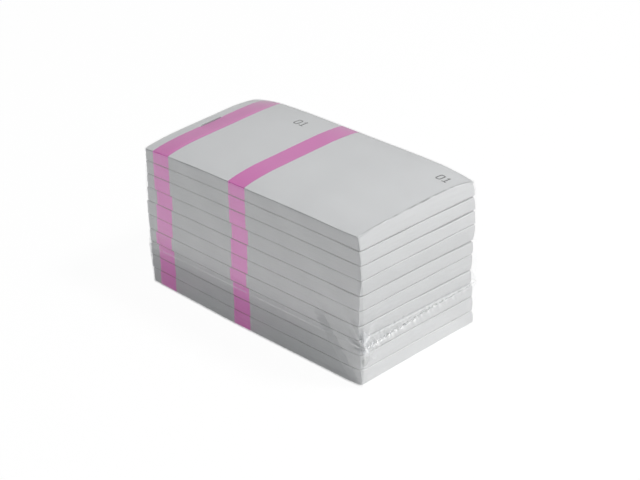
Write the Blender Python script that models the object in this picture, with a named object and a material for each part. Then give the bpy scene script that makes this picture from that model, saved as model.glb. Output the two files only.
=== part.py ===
"""A shrink-wrapped pack of stapled raffle ticket books.

The books lie flat on each other. X runs from their bound (stapled) end to their free end,
Y from front to back and Z up. Lengths are in metres. The origin is at the middle of the
film's underside.
"""

import math

import bmesh
import bpy
from mathutils import Matrix, Vector

# Ticket books, stacked between a base that lifts a little at both ends and the deck, the
# underside of the top book. The top's height and its book's thickness are those at the corners of
# the bound end.
BOOK_LENGTH = 0.138
BOOK_WIDTH = 0.075
BOOK_GAP = 0.0003
BOUND_LIFT = 0.0013
BOUND_LIFT_REACH = 0.050
FREE_LIFT = 0.0008
FREE_LIFT_REACH = 0.010
TOP_HEIGHT = 0.0738
TOP_BOOK_THICKNESS = 0.0061
DECK_HEIGHT = TOP_HEIGHT - TOP_BOOK_THICKNESS
DECK_RISE = 0.0025

# Height of each book's underside, as a share of the way from the base to the deck.
BOOK_LEVELS = (0.0, 0.116, 0.225, 0.334, 0.439, 0.554, 0.669, 0.783, 0.893, 1.0)

# How each book lies along the pack, from the lowest up: the shift of its print, the place of its
# bound end, and the places of the free ends of its lowest and its highest leaf.
BOOK_LIES = (
    (-0.0004, -0.0010, 0.1386, 0.1380),
    (0.0000, -0.0015, 0.1380, 0.1381),
    (-0.0001, -0.0017, 0.1380, 0.1379),
    (-0.0016, -0.0018, 0.1370, 0.1373),
    (-0.0003, -0.0021, 0.1373, 0.1380),
    (0.0000, -0.0023, 0.1380, 0.1384),
    (0.0011, -0.0014, 0.1384, 0.1399),
    (-0.0001, -0.0009, 0.1397, 0.1393),
    (0.0001, -0.0007, 0.1396, 0.1390),
    (0.0003, -0.0006, 0.1394, 0.1383),
)

# Print: two stripes across every leaf, the first beside the stub.
STUB_MARGIN = 0.0043
STRIPE_WIDTH = 0.0105
STRIPE_PITCH = 0.0516

# Top of the pack: a broad crown between lower edges, rising to the free end. The first leaf of
# the top book is loose, and perforations part it into a counterfoil and a ticket.
TOP_RISE = 0.0024
CROWN = 0.0031
CROWN_REACH_ENDS = 0.041
CROWN_REACH_SIDES = 0.021
CROWN_AT_EDGES = 0.44
EDGE_DROOP = 0.00024
DROOP_REACH = 0.006
LEAF_THICKNESS = 0.00008
LEAF_GAP = 0.0003
PERFORATION_GAP = 0.0003

# Staples, flush with both faces of their book.
STAPLE_CROWN = 0.013
STAPLE_CLINCH = 0.0042
WIRE_DIAMETER = 0.0006
WIRE_BEND_RADIUS = 0.0007
WIRE_CLEARANCE = 0.00015

# Shrink film, in an upper and a lower web that meet at a trim seal.
FILM_THICKNESS = 0.0002
FILM_GAP = 0.0003
SEAL_HEIGHT = 0.0228
SEAL_RISE = 0.0025
SEAL_GAP = 0.0003
SEAL_LIP = 0.0005

# The two bends in the upper film's end walls, by their drop from the top's height. Between them it
# widens from the top books to the pack's widest, so that it can still be lifted off.
UPPER_BEND_DROP = 0.0043
LOWER_BEND_DROP = 0.0218
UPPER_BEND = TOP_HEIGHT - UPPER_BEND_DROP
LOWER_BEND = TOP_HEIGHT - LOWER_BEND_DROP

# Finishes, with colours as linear values.
PAPER_COLOUR = (0.56, 0.57, 0.58, 1.0)
PAPER_ROUGHNESS = 0.75
INK_COLOUR = (0.56, 0.19, 0.44, 1.0)
INK_ROUGHNESS = 0.7
STEEL_COLOUR = (0.55, 0.56, 0.58, 1.0)
STEEL_ROUGHNESS = 0.3
FILM_COLOUR = (0.86, 0.88, 0.89, 1.0)
FILM_ROUGHNESS = 0.12
FILM_ALPHA = 0.2

# Mesh fineness.
LEAST_CELL = 0.0012
BEND_STEPS = 3
WIRE_BEVEL_RESOLUTION = 1
SHARP_ANGLE = math.radians(40)

BOOK_COUNT = len(BOOK_LIES)
TOP_BOOK = BOOK_COUNT - 1
TOP_SHIFT, TOP_BOUND_END, TOP_LOW_END, TOP_HIGH_END = BOOK_LIES[TOP_BOOK]
HALF_WIDTH = BOOK_WIDTH / 2
WIRE_RADIUS = WIRE_DIAMETER / 2
SECOND_STRIPE = STUB_MARGIN + STRIPE_PITCH
STRIPES = tuple((start, start + STRIPE_WIDTH) for start in (STUB_MARGIN, SECOND_STRIPE))
STUB_LINE = STUB_MARGIN + STRIPE_WIDTH
TEAR_LINE = SECOND_STRIPE + STRIPE_WIDTH

FILM_SIDE = HALF_WIDTH + FILM_GAP


def film_span(lies):
    """Places of the film's end walls around the given books."""
    bound_ends = [bound_end for shift, bound_end, low_end, high_end in lies]
    free_ends = [max(low_end, high_end) for shift, bound_end, low_end, high_end in lies]
    return min(bound_ends) - FILM_GAP, max(free_ends) + FILM_GAP


# The film's end walls at its base, at its lid, at the upper bend, and from the lower bend to the rim.
BASE_SPAN = film_span(BOOK_LIES[:1])
LID_SPAN = (TOP_BOUND_END - FILM_GAP, TOP_HIGH_END + FILM_GAP)
SHOULDER_SPAN = film_span(BOOK_LIES[TOP_BOOK - 1:])
RIM_SPAN = film_span(BOOK_LIES)
FILM_MIDDLE = sum(RIM_SPAN) / 2

# Pack coordinates start at the books' nominal bound end, on their middle line. This offset puts
# the middle of the film's outline at the origin: both ends and the back have a seal lip.
PACK_OFFSET = Vector((-FILM_MIDDLE, -SEAL_LIP / 2, 0.0))


def clear_scene():
    """Remove whatever objects the file starts with."""
    for old in list(bpy.data.objects):
        bpy.data.objects.remove(old, do_unlink=True)


def make_material(name, colour, roughness, metallic=0.0, alpha=1.0):
    """A plain Principled material."""
    material = bpy.data.materials.new(name)
    material.use_nodes = True
    shader = material.node_tree.nodes["Principled BSDF"]
    shader.inputs["Base Color"].default_value = colour
    shader.inputs["Roughness"].default_value = roughness
    shader.inputs["Metallic"].default_value = metallic
    shader.inputs["Alpha"].default_value = alpha
    return material


def place(name, mesh, origin, materials, parent=None):
    """Add a mesh drawn in pack coordinates as an object with its origin at a pack point."""
    mesh.transform(Matrix.Translation(-origin))
    for material in materials:
        mesh.materials.append(material)
    thing = bpy.data.objects.new(name, mesh)
    bpy.context.scene.collection.objects.link(thing)
    thing.location = origin + PACK_OFFSET
    if parent is not None:
        bpy.context.view_layer.update()
        thing.parent = parent
        thing.matrix_parent_inverse = parent.matrix_world.inverted()
    return thing


def rise(distance, reach):
    """A rounded climb from 0 at an edge to 1 at a given reach from it."""
    share = min(max(distance / reach, 0.0), 1.0)
    return 1.0 - (1.0 - share) ** 2


def base_height(along):
    """Height of the lowest book's underside."""
    bound_lift = BOUND_LIFT * max(1.0 - max(along, 0.0) / BOUND_LIFT_REACH, 0.0)
    free_lift = FREE_LIFT * (1.0 - rise(BOOK_LENGTH - along, FREE_LIFT_REACH))
    return FILM_THICKNESS + FILM_GAP + bound_lift + free_lift


def underside(book, along):
    """Height of a book's lower face."""
    base = base_height(along)
    deck = DECK_HEIGHT + DECK_RISE * rise(along, BOOK_LENGTH)
    return base + BOOK_LEVELS[book] * (deck - base)


def crown_share(along, across):
    """Share of the pack's crown at a point: 0 at the corners, 1 in the middle."""
    from_ends = rise(min(along, BOOK_LENGTH - along), CROWN_REACH_ENDS)
    from_sides = rise(HALF_WIDTH - abs(across), CROWN_REACH_SIDES)
    return CROWN_AT_EDGES * (from_ends + from_sides) + (1 - 2 * CROWN_AT_EDGES) * from_ends * from_sides


def leaf_upper_face(along, across):
    """Height of the top leaf's upper face."""
    share = min(max(along / BOOK_LENGTH, 0.0), 1.0)
    droop = EDGE_DROOP * (1.0 - rise(HALF_WIDTH - abs(across), DROOP_REACH))
    return TOP_HEIGHT + TOP_RISE * share + CROWN * crown_share(along, across) - droop


def leaf_underside(along, across):
    """Height of the top leaf's lower face."""
    return leaf_upper_face(along, across) - LEAF_THICKNESS


def upper_face(book, along, across):
    """Height of a book's upper face. The top book's follows the leaf over it."""
    if book == TOP_BOOK:
        return leaf_underside(along, across) - LEAF_GAP
    return underside(book + 1, along) - BOOK_GAP


def lid_height(along, across):
    """Height of the upper film's inner face over the top book."""
    return leaf_upper_face(along, across) + FILM_GAP


def seal_height(across):
    """Height of the seal line, which climbs a little from front to back."""
    return SEAL_HEIGHT + SEAL_RISE * across / BOOK_WIDTH


def grid_lines(needed, helpful):
    """Sorted grid lines: all the needed ones, and the helpful ones that fall clear between them."""
    lines = sorted(set(needed))
    for line in helpful:
        clear = all(abs(line - other) > LEAST_CELL for other in lines)
        if clear and lines[0] < line < lines[-1]:
            lines = sorted(lines + [line])
    return lines


def columns_between(start, end, needed=()):
    """Lines across the pack from one place to another, closer where its top and base bend."""
    insets = (FREE_LIFT_REACH, FREE_LIFT_REACH / 2, CROWN_REACH_ENDS, CROWN_REACH_ENDS / 2)
    helpful = [BOUND_LIFT_REACH, BOOK_LENGTH / 2]
    for inset in insets:
        helpful += [inset, BOOK_LENGTH - inset]
    return grid_lines((start, end, *needed), helpful)


def rows_between(side):
    """Lines along the pack, the same on both sides of its middle line."""
    insets = (DROOP_REACH / 2, DROOP_REACH, (DROOP_REACH + CROWN_REACH_SIDES) / 2, CROWN_REACH_SIDES)
    helpful = [0.0]
    for inset in insets:
        helpful += [inset - HALF_WIDTH, HALF_WIDTH - inset]
    return grid_lines((-side, side), helpful)


def grid_sheet(columns, rows):
    """A flat sheet of quads with its lines at the given columns and rows."""
    sheet = bmesh.new()
    across = len(columns) - 1
    deep = len(rows) - 1
    bmesh.ops.create_grid(sheet, x_segments=across, y_segments=deep, size=1.0)
    for vert in sheet.verts:
        vert.co.x = columns[round((vert.co.x + 1.0) / 2.0 * across)]
        vert.co.y = rows[round((vert.co.y + 1.0) / 2.0 * deep)]
    return sheet


def slab(columns, rows):
    """A closed slab over a grid, with the lists of its lower and upper points."""
    body = grid_sheet(columns, rows)
    low = list(body.verts)
    raised = bmesh.ops.extrude_face_region(body, geom=body.faces[:], use_keep_orig=True)
    high = [item for item in raised["geom"] if isinstance(item, bmesh.types.BMVert)]
    return body, low, high


def closed_mesh(name, body):
    """Turn a closed bmesh into a mesh of triangles that face out."""
    bmesh.ops.recalc_face_normals(body, faces=body.faces[:])
    bmesh.ops.triangulate(body, faces=body.faces[:])
    return bmesh_to_mesh(name, body)


def bmesh_to_mesh(name, body):
    """Turn a bmesh into a mesh that is smooth but for its sharp edges."""
    mesh = bpy.data.meshes.new(name)
    body.to_mesh(mesh)
    body.free()
    mesh.shade_smooth()
    mesh.set_sharp_from_angle(angle=SHARP_ANGLE)
    return mesh


def stripe_edges(shift, start, end):
    """Edges of the printed stripes that fall between two places, for print with a given shift."""
    edges = [edge + shift for stripe in STRIPES for edge in stripe]
    return [edge for edge in edges if start < edge < end]


def ink_faces(body, shift):
    """Give the faces that lie in a stripe the second material, the ink."""
    for face in body.faces:
        middle = face.calc_center_median().x - shift
        face.material_index = int(any(start < middle < end for start, end in STRIPES))


def pad_mesh(name, book):
    """The leaves of one book as a slab with inked bands where the stripes run."""
    shift, bound_end, low_end, high_end = BOOK_LIES[book]
    end = min(low_end, high_end)
    rows = rows_between(HALF_WIDTH) if book == TOP_BOOK else (-HALF_WIDTH, HALF_WIDTH)
    body, low, high = slab(columns_between(bound_end, end, stripe_edges(shift, bound_end, end)), rows)
    for vert in low:
        vert.co.z = underside(book, vert.co.x)
    for vert in high:
        vert.co.z = upper_face(book, vert.co.x, vert.co.y)
    for face_points, free_end in ((low, low_end), (high, high_end)):
        for vert in face_points:
            if vert.co.x > end - LEAST_CELL / 2:
                vert.co.x = free_end
    ink_faces(body, shift)
    return closed_mesh(name, body)


def rounded_path(corners, radius):
    """Points of a path whose right-angled corners are rounded."""
    points = [corners[0]]
    for before, corner, after in zip(corners, corners[1:], corners[2:]):
        arriving = (corner - before).normalized()
        leaving = (after - corner).normalized()
        centre = corner + (leaving - arriving) * radius
        for step in range(BEND_STEPS + 1):
            angle = math.pi / 2 * step / BEND_STEPS
            points.append(centre - leaving * radius * math.cos(angle) + arriving * radius * math.sin(angle))
    points.append(corners[-1])
    return points


def staple_corners(book, end_clearance=0.0):
    """Corners of a staple's middle line, from one clinched end over the crown to the other."""
    along = STUB_MARGIN + BOOK_LIES[book][0]
    top = upper_face(book, along, 0.0) - WIRE_RADIUS
    foot = underside(book, along) + WIRE_RADIUS
    leg = STAPLE_CROWN / 2
    tip = leg - STAPLE_CLINCH - end_clearance
    outline = ((-tip, foot), (-leg, foot), (-leg, top), (leg, top), (leg, foot), (tip, foot))
    return [Vector((along, across, height)) for across, height in outline]


def wire_mesh(name, corners, radius):
    """A round wire along a path, with filled ends."""
    points = rounded_path(corners, WIRE_BEND_RADIUS)
    curve = bpy.data.curves.new(name, "CURVE")
    curve.dimensions = "3D"
    curve.bevel_depth = radius
    curve.bevel_resolution = WIRE_BEVEL_RESOLUTION
    curve.use_fill_caps = True
    line = curve.splines.new("POLY")
    line.points.add(len(points) - 1)
    for target, point in zip(line.points, points):
        target.co = (*point, 1.0)
    guide = bpy.data.objects.new(name, curve)
    bpy.context.scene.collection.objects.link(guide)
    depsgraph = bpy.context.evaluated_depsgraph_get()
    tube = bpy.data.meshes.new_from_object(guide.evaluated_get(depsgraph))
    body = bmesh.new()
    body.from_mesh(tube)
    bpy.data.objects.remove(guide, do_unlink=True)
    bpy.data.curves.remove(curve)
    bpy.data.meshes.remove(tube)
    bmesh.ops.remove_doubles(body, verts=body.verts[:], dist=radius / 100)
    return closed_mesh(name, body)


def cut_channel(pad, book):
    """Cut the room for a book's staple out of its pad."""
    corners = staple_corners(book, WIRE_CLEARANCE)
    mesh = wire_mesh(f"staple_channel_{book + 1:02d}", corners, WIRE_RADIUS + WIRE_CLEARANCE)
    channel = place(mesh.name, mesh, corners[0], (), pad)
    channel.hide_render = True
    channel.display_type = "WIRE"
    cut = pad.modifiers.new("staple_channel", "BOOLEAN")
    cut.operation = "DIFFERENCE"
    cut.solver = "EXACT"
    cut.object = channel


def leaf_mesh(name, start, end):
    """A stretch of the top book's first leaf, from one place of the pack to another."""
    columns = columns_between(start, end, stripe_edges(TOP_SHIFT, start, end))
    body, low, high = slab(columns, rows_between(HALF_WIDTH))
    for vert in low:
        vert.co.z = leaf_underside(vert.co.x, vert.co.y)
    for vert in high:
        vert.co.z = leaf_upper_face(vert.co.x, vert.co.y)
    ink_faces(body, TOP_SHIFT)
    return closed_mesh(name, body)


def draw_ring(shell, edges, span, height):
    """Extrude a ring of edges and set it to a height, its ends at the two places of a span."""
    drawn = bmesh.ops.extrude_edge_only(shell, edges=edges)["geom"]
    ring = [item for item in drawn if isinstance(item, bmesh.types.BMEdge) and item.is_boundary]
    points = {vert for edge in ring for vert in edge.verts}
    places = [vert.co.x for vert in points]
    first = min(places) + LEAST_CELL / 2
    last = max(places) - LEAST_CELL / 2
    for vert in points:
        vert.co.z = height(vert.co.y)
        if vert.co.x < first:
            vert.co.x = span[0]
        if vert.co.x > last:
            vert.co.x = span[1]
    return ring


def add_lip(shell, rim):
    """Turn the rim out into a seal lip along both ends and the back. The front is a fold."""
    lipped = [edge for edge in rim if any(vert.co.y > LEAST_CELL / 2 - FILM_SIDE for vert in edge.verts)]
    turned = bmesh.ops.extrude_edge_only(shell, edges=lipped)["geom"]
    lip_width = FILM_THICKNESS + SEAL_LIP
    for vert in (item for item in turned if isinstance(item, bmesh.types.BMVert)):
        if vert.co.y > FILM_SIDE - LEAST_CELL / 2:
            vert.co.y += lip_width
        if vert.co.x < RIM_SPAN[0] + LEAST_CELL / 2:
            vert.co.x -= lip_width
        if vert.co.x > RIM_SPAN[1] - LEAST_CELL / 2:
            vert.co.x += lip_width


def film_object(name, shell, flat_face, outward, origin, film, parent):
    """Give a film sheet its thickness on the side that its flat face shows to the outside."""
    bmesh.ops.recalc_face_normals(shell, faces=shell.faces[:])
    if flat_face.normal.dot(outward) < 0.0:
        bmesh.ops.reverse_faces(shell, faces=shell.faces[:])
    mesh = bmesh_to_mesh(name, shell)
    thing = place(name, mesh, origin, (film,), parent)
    skin = thing.modifiers.new("film_thickness", "SOLIDIFY")
    skin.thickness = FILM_THICKNESS
    skin.offset = 1.0
    skin.use_even_offset = True
    return thing


def build_lower_film(film, parent):
    """The film under the pack and up its sides to the seal."""
    shell = grid_sheet(columns_between(*BASE_SPAN), (-FILM_SIDE, FILM_SIDE))
    base = shell.faces[:][0]
    for vert in shell.verts:
        vert.co.z = base_height(vert.co.x) - FILM_GAP
    outline = [edge for edge in shell.edges if edge.is_boundary]
    rim = draw_ring(shell, outline, RIM_SPAN, lambda across: seal_height(across) - SEAL_GAP / 2)
    add_lip(shell, rim)
    middle = Vector((FILM_MIDDLE, 0.0, 0.0))
    return film_object("film_lower", shell, base, Vector((0.0, 0.0, -1.0)), middle, film, parent)


def build_upper_film(film, parent):
    """The film over the top book and down the sides to the seal."""
    shell = grid_sheet(columns_between(*LID_SPAN), rows_between(FILM_SIDE))
    lid = shell.faces[:][0]
    for vert in shell.verts:
        vert.co.z = lid_height(vert.co.x, vert.co.y)
    ring = [edge for edge in shell.edges if edge.is_boundary]
    rings = (
        (SHOULDER_SPAN, lambda across: UPPER_BEND),
        (RIM_SPAN, lambda across: LOWER_BEND),
        (RIM_SPAN, lambda across: seal_height(across) + SEAL_GAP / 2),
    )
    for span, height in rings:
        ring = draw_ring(shell, ring, span, height)
    add_lip(shell, ring)
    middle = Vector((FILM_MIDDLE, 0.0, SEAL_HEIGHT))
    return film_object("film_upper", shell, lid, Vector((0.0, 0.0, 1.0)), middle, film, parent)


def build_book(book, paper, ink, steel, parent):
    """One book: its pad of leaves and the staple that binds them."""
    number = f"{book + 1:02d}"
    middle = BOOK_LENGTH / 2
    pad_origin = Vector((middle, 0.0, underside(book, middle)))
    pad_name = f"ticket_pad_{number}"
    pad = place(pad_name, pad_mesh(pad_name, book), pad_origin, (paper, ink), parent)
    cut_channel(pad, book)
    staple_name = f"staple_{number}"
    corners = staple_corners(book)
    staple = wire_mesh(staple_name, corners, WIRE_RADIUS)
    staple_origin = Vector((corners[0].x, 0.0, corners[0].z))
    place(staple_name, staple, staple_origin, (steel,), pad)
    return pad


def build_leaf(name, start, end, paper, ink, parent):
    """A stretch of the top leaf, with its origin on the perforation that it turns on."""
    axis_point = Vector((start, 0.0, leaf_upper_face(start, 0.0)))
    return place(name, leaf_mesh(name, start, end), axis_point, (paper, ink), parent)


def main():
    """Build the pack from the lower film up."""
    clear_scene()
    paper = make_material("paper", PAPER_COLOUR, PAPER_ROUGHNESS)
    ink = make_material("stripe_ink", INK_COLOUR, INK_ROUGHNESS)
    steel = make_material("staple_wire", STEEL_COLOUR, STEEL_ROUGHNESS, metallic=1.0)
    film = make_material("shrink_film", FILM_COLOUR, FILM_ROUGHNESS, alpha=FILM_ALPHA)
    pack = bpy.data.objects.new("pack", None)
    bpy.context.scene.collection.objects.link(pack)
    carrier = build_lower_film(film, pack)
    for book in range(BOOK_COUNT):
        carrier = build_book(book, paper, ink, steel, carrier)
    stub_line = STUB_LINE + TOP_SHIFT
    tear_line = TEAR_LINE + TOP_SHIFT
    counterfoil = build_leaf("top_counterfoil", stub_line, tear_line - PERFORATION_GAP, paper, ink, carrier)
    build_leaf("top_ticket", tear_line, TOP_HIGH_END, paper, ink, counterfoil)
    build_upper_film(film, carrier)


main()
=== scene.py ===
"""Looks for a shrink-wrapped pack of raffle ticket books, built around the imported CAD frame.

Lengths are in metres. Pack coordinates start at the books' nominal bound end, on their middle
line and on the floor. PackForm.offset carries them to the frame's own origin.
"""

import logging
import math
from dataclasses import dataclass
from enum import Enum
from typing import Callable, Iterable, Optional, Sequence

import bmesh
import bpy
import numpy as np
from bpy.types import Material, Mesh, Node, NodeOutputs, NodeSocket, NodeTree, Object
from mathutils import Matrix, Vector


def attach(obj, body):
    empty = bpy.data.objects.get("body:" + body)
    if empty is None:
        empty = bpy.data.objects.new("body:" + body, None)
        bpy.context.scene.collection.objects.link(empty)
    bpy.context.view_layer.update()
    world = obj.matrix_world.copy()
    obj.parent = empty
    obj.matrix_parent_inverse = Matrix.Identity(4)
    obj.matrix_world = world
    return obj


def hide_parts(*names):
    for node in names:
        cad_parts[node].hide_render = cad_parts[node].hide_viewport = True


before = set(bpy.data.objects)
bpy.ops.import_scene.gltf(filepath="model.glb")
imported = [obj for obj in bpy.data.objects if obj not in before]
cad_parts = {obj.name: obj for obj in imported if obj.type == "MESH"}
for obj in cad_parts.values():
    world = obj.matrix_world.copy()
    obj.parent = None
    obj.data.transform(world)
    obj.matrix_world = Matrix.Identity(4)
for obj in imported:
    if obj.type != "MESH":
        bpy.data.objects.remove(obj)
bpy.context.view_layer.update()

LOG = logging.getLogger("ticket_pack")
IMAGE_WIDTH = 640
MM = 0.001
LEAST_CELL = 0.00009
SHARP_ANGLE = 40.0

Pair = tuple[float, float]
Triple = tuple[float, float, float]
Colour = tuple[float, float, float, float]
HeightRule = Callable[[np.ndarray, np.ndarray], np.ndarray]
Hoop = tuple[Pair, HeightRule]


class Side(Enum):
    """The four upright sides of the pack."""

    FRONT = "front"
    FREE = "free"
    BACK = "back"
    BOUND = "bound"


class Slot(Enum):
    """The record's material slots."""

    PAPER = "ticket_paper"
    WIRE = "staple_wire"
    FILM = "shrink_film"


def grey(value: float) -> Colour:
    """A neutral colour."""
    return (value, value, value, 1.0)


def rise(distance: np.ndarray, reach: float) -> np.ndarray:
    """A rounded climb from 0 at an edge to 1 at a given reach from it."""
    share = np.clip(distance / reach, 0.0, 1.0)
    return 1.0 - (1.0 - share) ** 2


def ramp(value: np.ndarray, start: float, end: float) -> np.ndarray:
    """A straight climb from 0 at one value to 1 at another."""
    return np.clip((value - start) / (end - start), 0.0, 1.0)


def bell(distance: np.ndarray, width: float) -> np.ndarray:
    """A smooth hump, 1 at distance 0 and small beyond a given width."""
    return np.exp(-((distance / width) ** 2))


def pleat(place: np.ndarray, wave: float) -> np.ndarray:
    """Sharp pleats along a line, half as high as they are long."""
    return np.abs((place / wave) % 1.0 - 0.5) * wave


def between(first: HeightRule, second: HeightRule, share: float) -> HeightRule:
    """A height rule part of the way from one to another."""
    return lambda along, across: (1 - share) * first(along, across) + share * second(along, across)


@dataclass(frozen=True)
class Climb:
    """A straight climb from 0 at one place to 1 at another."""

    start: float
    end: float

    def at(self, place: np.ndarray) -> np.ndarray:
        """How far up the climb each place is."""
        return ramp(place, self.start, self.end)


@dataclass(frozen=True)
class Hump:
    """A smooth hump at one place along a line."""

    place: float
    width: float
    size: float = 1.0

    def at(self, place: np.ndarray) -> np.ndarray:
        """The hump's height at each place."""
        return self.size * bell(place - self.place, self.width)


@dataclass(frozen=True)
class Pleats:
    """Pleats that run slanting across an upright wall."""

    along: float
    up: float
    wave: float

    def at(self, line: np.ndarray, height: np.ndarray) -> np.ndarray:
        """The pleats' height at each point of the wall."""
        return pleat(self.along * line + self.up * height, self.wave)


@dataclass(frozen=True)
class Waves:
    """Smooth irregular waves along a line, the same on every run. The seed picks their phases."""

    seed: int
    lengths: tuple[float, ...]
    size: float

    def at(self, place: np.ndarray) -> np.ndarray:
        """Add the waves up.

        Args:
            place: Places along the line.

        Returns:
            Their sum at each place.
        """
        draw = np.random.default_rng(self.seed)
        total = np.zeros_like(place, dtype=float)
        for length in self.lengths:
            total += np.sin(2 * math.pi * place / length + draw.uniform(0, 2 * math.pi))
        return total * self.size


@dataclass(frozen=True)
class BookLie:
    """How one book lies in the pack.

    The level is its underside's share of the way from the base to the deck, and the gap is how
    far the book above it keeps off at the free end. There the underside sags, by one amount near
    the front and by a further one at the back. The last value is the painted shade that greys the
    paper where it meets the book above, standing in for the shade in the gap between them.
    """

    print_shift: float
    bound_end: float
    low_end: float
    high_end: float
    level: float
    gap: float
    front_sag: float
    back_sag: float
    seam: float


# The last value of each lie is the painted shade in the gap above that book
LIES = (
    BookLie(-0.0004, -0.0010, 0.1386, 0.1380, 0.0, 0.00026, 0.0, 0.0006, 0.40),
    BookLie(0.0000, -0.0015, 0.1380, 0.1381, 0.116, 0.00036, 0.0009, 0.0013, 0.70),
    BookLie(-0.0001, -0.0017, 0.1380, 0.1379, 0.225, 0.00010, 0.0007, 0.0014, 0.40),
    BookLie(-0.0016, -0.0018, 0.1370, 0.1373, 0.334, 0.00056, 0.0006, 0.0026, 0.75),
    BookLie(-0.0003, -0.0021, 0.1373, 0.1380, 0.439, 0.00036, 0.0008, 0.0022, 0.50),
    BookLie(0.0000, -0.0023, 0.1380, 0.1384, 0.554, 0.00068, 0.0008, 0.0014, 0.80),
    BookLie(0.0011, -0.0014, 0.1384, 0.1399, 0.669, 0.00036, 0.0010, 0.0018, 0.45),
    BookLie(-0.0001, -0.0009, 0.1397, 0.1393, 0.783, 0.00068, 0.0001, 0.0015, 0.85),
    BookLie(0.0001, -0.0007, 0.1396, 0.1390, 0.893, 0.00076, 0.0005, 0.0016, 0.80),
    BookLie(0.0003, -0.0006, 0.1394, 0.1383, 1.0, 0.0, 0.0004, 0.0019, 0.90),
)


@dataclass(frozen=True)
class PackForm:
    """The pack's sizes and the heights of its faces.

    They are those of the part's source, but for the sag of the books, the set of the top leaf's
    corners and the seal's line, which follow the photograph more closely.
    """

    length: float = 0.138
    width: float = 0.075
    bound_lift: float = 0.0013
    bound_lift_reach: float = 0.050
    free_lift: float = 0.0008
    free_lift_reach: float = 0.010
    deck_height: float = 0.0677
    deck_rise: float = 0.0025
    stub_margin: float = 0.0043
    stripe_width: float = 0.0105
    stripe_pitch: float = 0.0516
    top_height: float = 0.0738
    top_rise: float = 0.0024
    crown: float = 0.0031
    crown_reach_ends: float = 0.041
    crown_reach_sides: float = 0.021
    crown_at_edges: float = 0.44
    edge_droop: float = 0.00024
    droop_reach: float = 0.006
    leaf_thickness: float = 0.00008
    slit_pitch: float = 0.0014
    film_thickness: float = 0.0002
    film_gap: float = 0.0003
    seal_height: float = 0.02254
    seal_rise: float = 0.0019
    seal_lip: float = 0.0005
    upper_bend: float = 0.0695
    lower_bend: float = 0.0520
    sag_start: float = 0.112
    sag_edge: float = 0.005
    sag_power: float = 1.4
    free_set_start: float = 0.118
    free_set_power: float = 1.7
    bound_set_start: float = 0.014
    bound_set_end: float = -0.0006
    bound_set_power: float = 1.5
    back_set_start: float = 0.018
    back_set_power: float = 1.6
    back_set: float = 0.001
    free_set: tuple[float, ...] = (0.0005, 0.000017, -0.00065, -0.001167)
    seal_wavers: tuple[Triple, ...] = (
        (0.00045, 0.0047, 0.012),
        (-0.0005, -0.0343, 0.009),
        (-0.0004, -0.0078, 0.0035),
    )

    @property
    def half_width(self) -> float:
        """Half the books' width."""
        return self.width / 2

    @property
    def film_side(self) -> float:
        """Distance of the film's front and back walls from the middle line."""
        return self.half_width + self.film_gap

    @property
    def stub_line(self) -> float:
        """Place of the perforation beside the stub, in a book's own print."""
        return self.stub_margin + self.stripe_width

    @property
    def tear_line(self) -> float:
        """Place of the perforation between counterfoil and ticket, in a book's own print."""
        return self.stub_margin + self.stripe_pitch + self.stripe_width

    @property
    def rim_span(self) -> Pair:
        """Places of the film's end walls where the pack is longest."""
        return self.film_span(LIES)

    @property
    def offset(self) -> Vector:
        """The step from pack coordinates to the frame's."""
        return Vector((-sum(self.rim_span) / 2, -self.seal_lip / 2, 0.0))

    def film_span(self, lies: Sequence[BookLie]) -> Pair:
        """Places of the film's end walls around some books.

        Args:
            lies: The books to keep clear of.

        Returns:
            The places of the bound end's wall and the free end's wall.
        """
        first = min(lie.bound_end for lie in lies) - self.film_gap
        last = max(max(lie.low_end, lie.high_end) for lie in lies) + self.film_gap
        return first, last

    def base(self, along: np.ndarray) -> np.ndarray:
        """Height of the lowest book's underside."""
        bound = self.bound_lift * ramp(along, self.bound_lift_reach, 0.0)
        free = self.free_lift * (1.0 - rise(self.length - along, self.free_lift_reach))
        return self.film_thickness + self.film_gap + bound + free

    def underside(self, book: int, along: np.ndarray, across: np.ndarray) -> np.ndarray:
        """Height of a book's lower face."""
        base = self.base(along)
        deck = self.deck_height + self.deck_rise * rise(along, self.length)
        return base + LIES[book].level * (deck - base) - self.sag(book, along, across)

    def sag(self, book: int, along: np.ndarray, across: np.ndarray) -> np.ndarray:
        """How far a book's lower face sags toward the free end, behind the front edge.

        Args:
            book: The book's number from the lowest.
            along: Places along the pack.
            across: Places across the pack.

        Returns:
            The sag at each place.
        """
        lie = LIES[book]
        near = rise(across + self.half_width, self.sag_edge)
        far = ramp(across, -self.half_width, self.half_width) ** self.sag_power
        return (lie.front_sag * near + lie.back_sag * far) * ramp(along, self.sag_start, self.length) ** 2

    def leaf_top(self, along: np.ndarray, across: np.ndarray) -> np.ndarray:
        """Height of the top leaf's upper face.

        Args:
            along: Places along the pack.
            across: Places across the pack.

        Returns:
            The height at each place.
        """
        share = ramp(along, 0.0, self.length)
        from_ends = rise(np.minimum(along, self.length - along), self.crown_reach_ends)
        inset = self.half_width - np.abs(across)
        from_sides = rise(inset, self.crown_reach_sides)
        both = (1 - 2 * self.crown_at_edges) * from_ends * from_sides
        crown = self.crown_at_edges * (from_ends + from_sides) + both
        droop = self.edge_droop * (1.0 - rise(inset, self.droop_reach))
        height = self.top_height + self.top_rise * share + self.crown * crown - droop
        return height + self.corner_set(along, across)

    def corner_set(self, along: np.ndarray, across: np.ndarray) -> np.ndarray:
        """How far the wrap has set the top leaf's corners up or down.

        Args:
            along: Places along the pack.
            across: Places across the pack.

        Returns:
            The step in height at each place.
        """
        side = across / self.half_width
        tilt = sum(size * side**power for power, size in enumerate(self.free_set))
        free = ramp(along, self.free_set_start, self.length) ** self.free_set_power
        bound = ramp(along, self.bound_set_start, self.bound_set_end) ** self.bound_set_power
        back = ramp(across, self.back_set_start, self.half_width) ** self.back_set_power
        return tilt * free - self.back_set * bound * back

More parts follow.
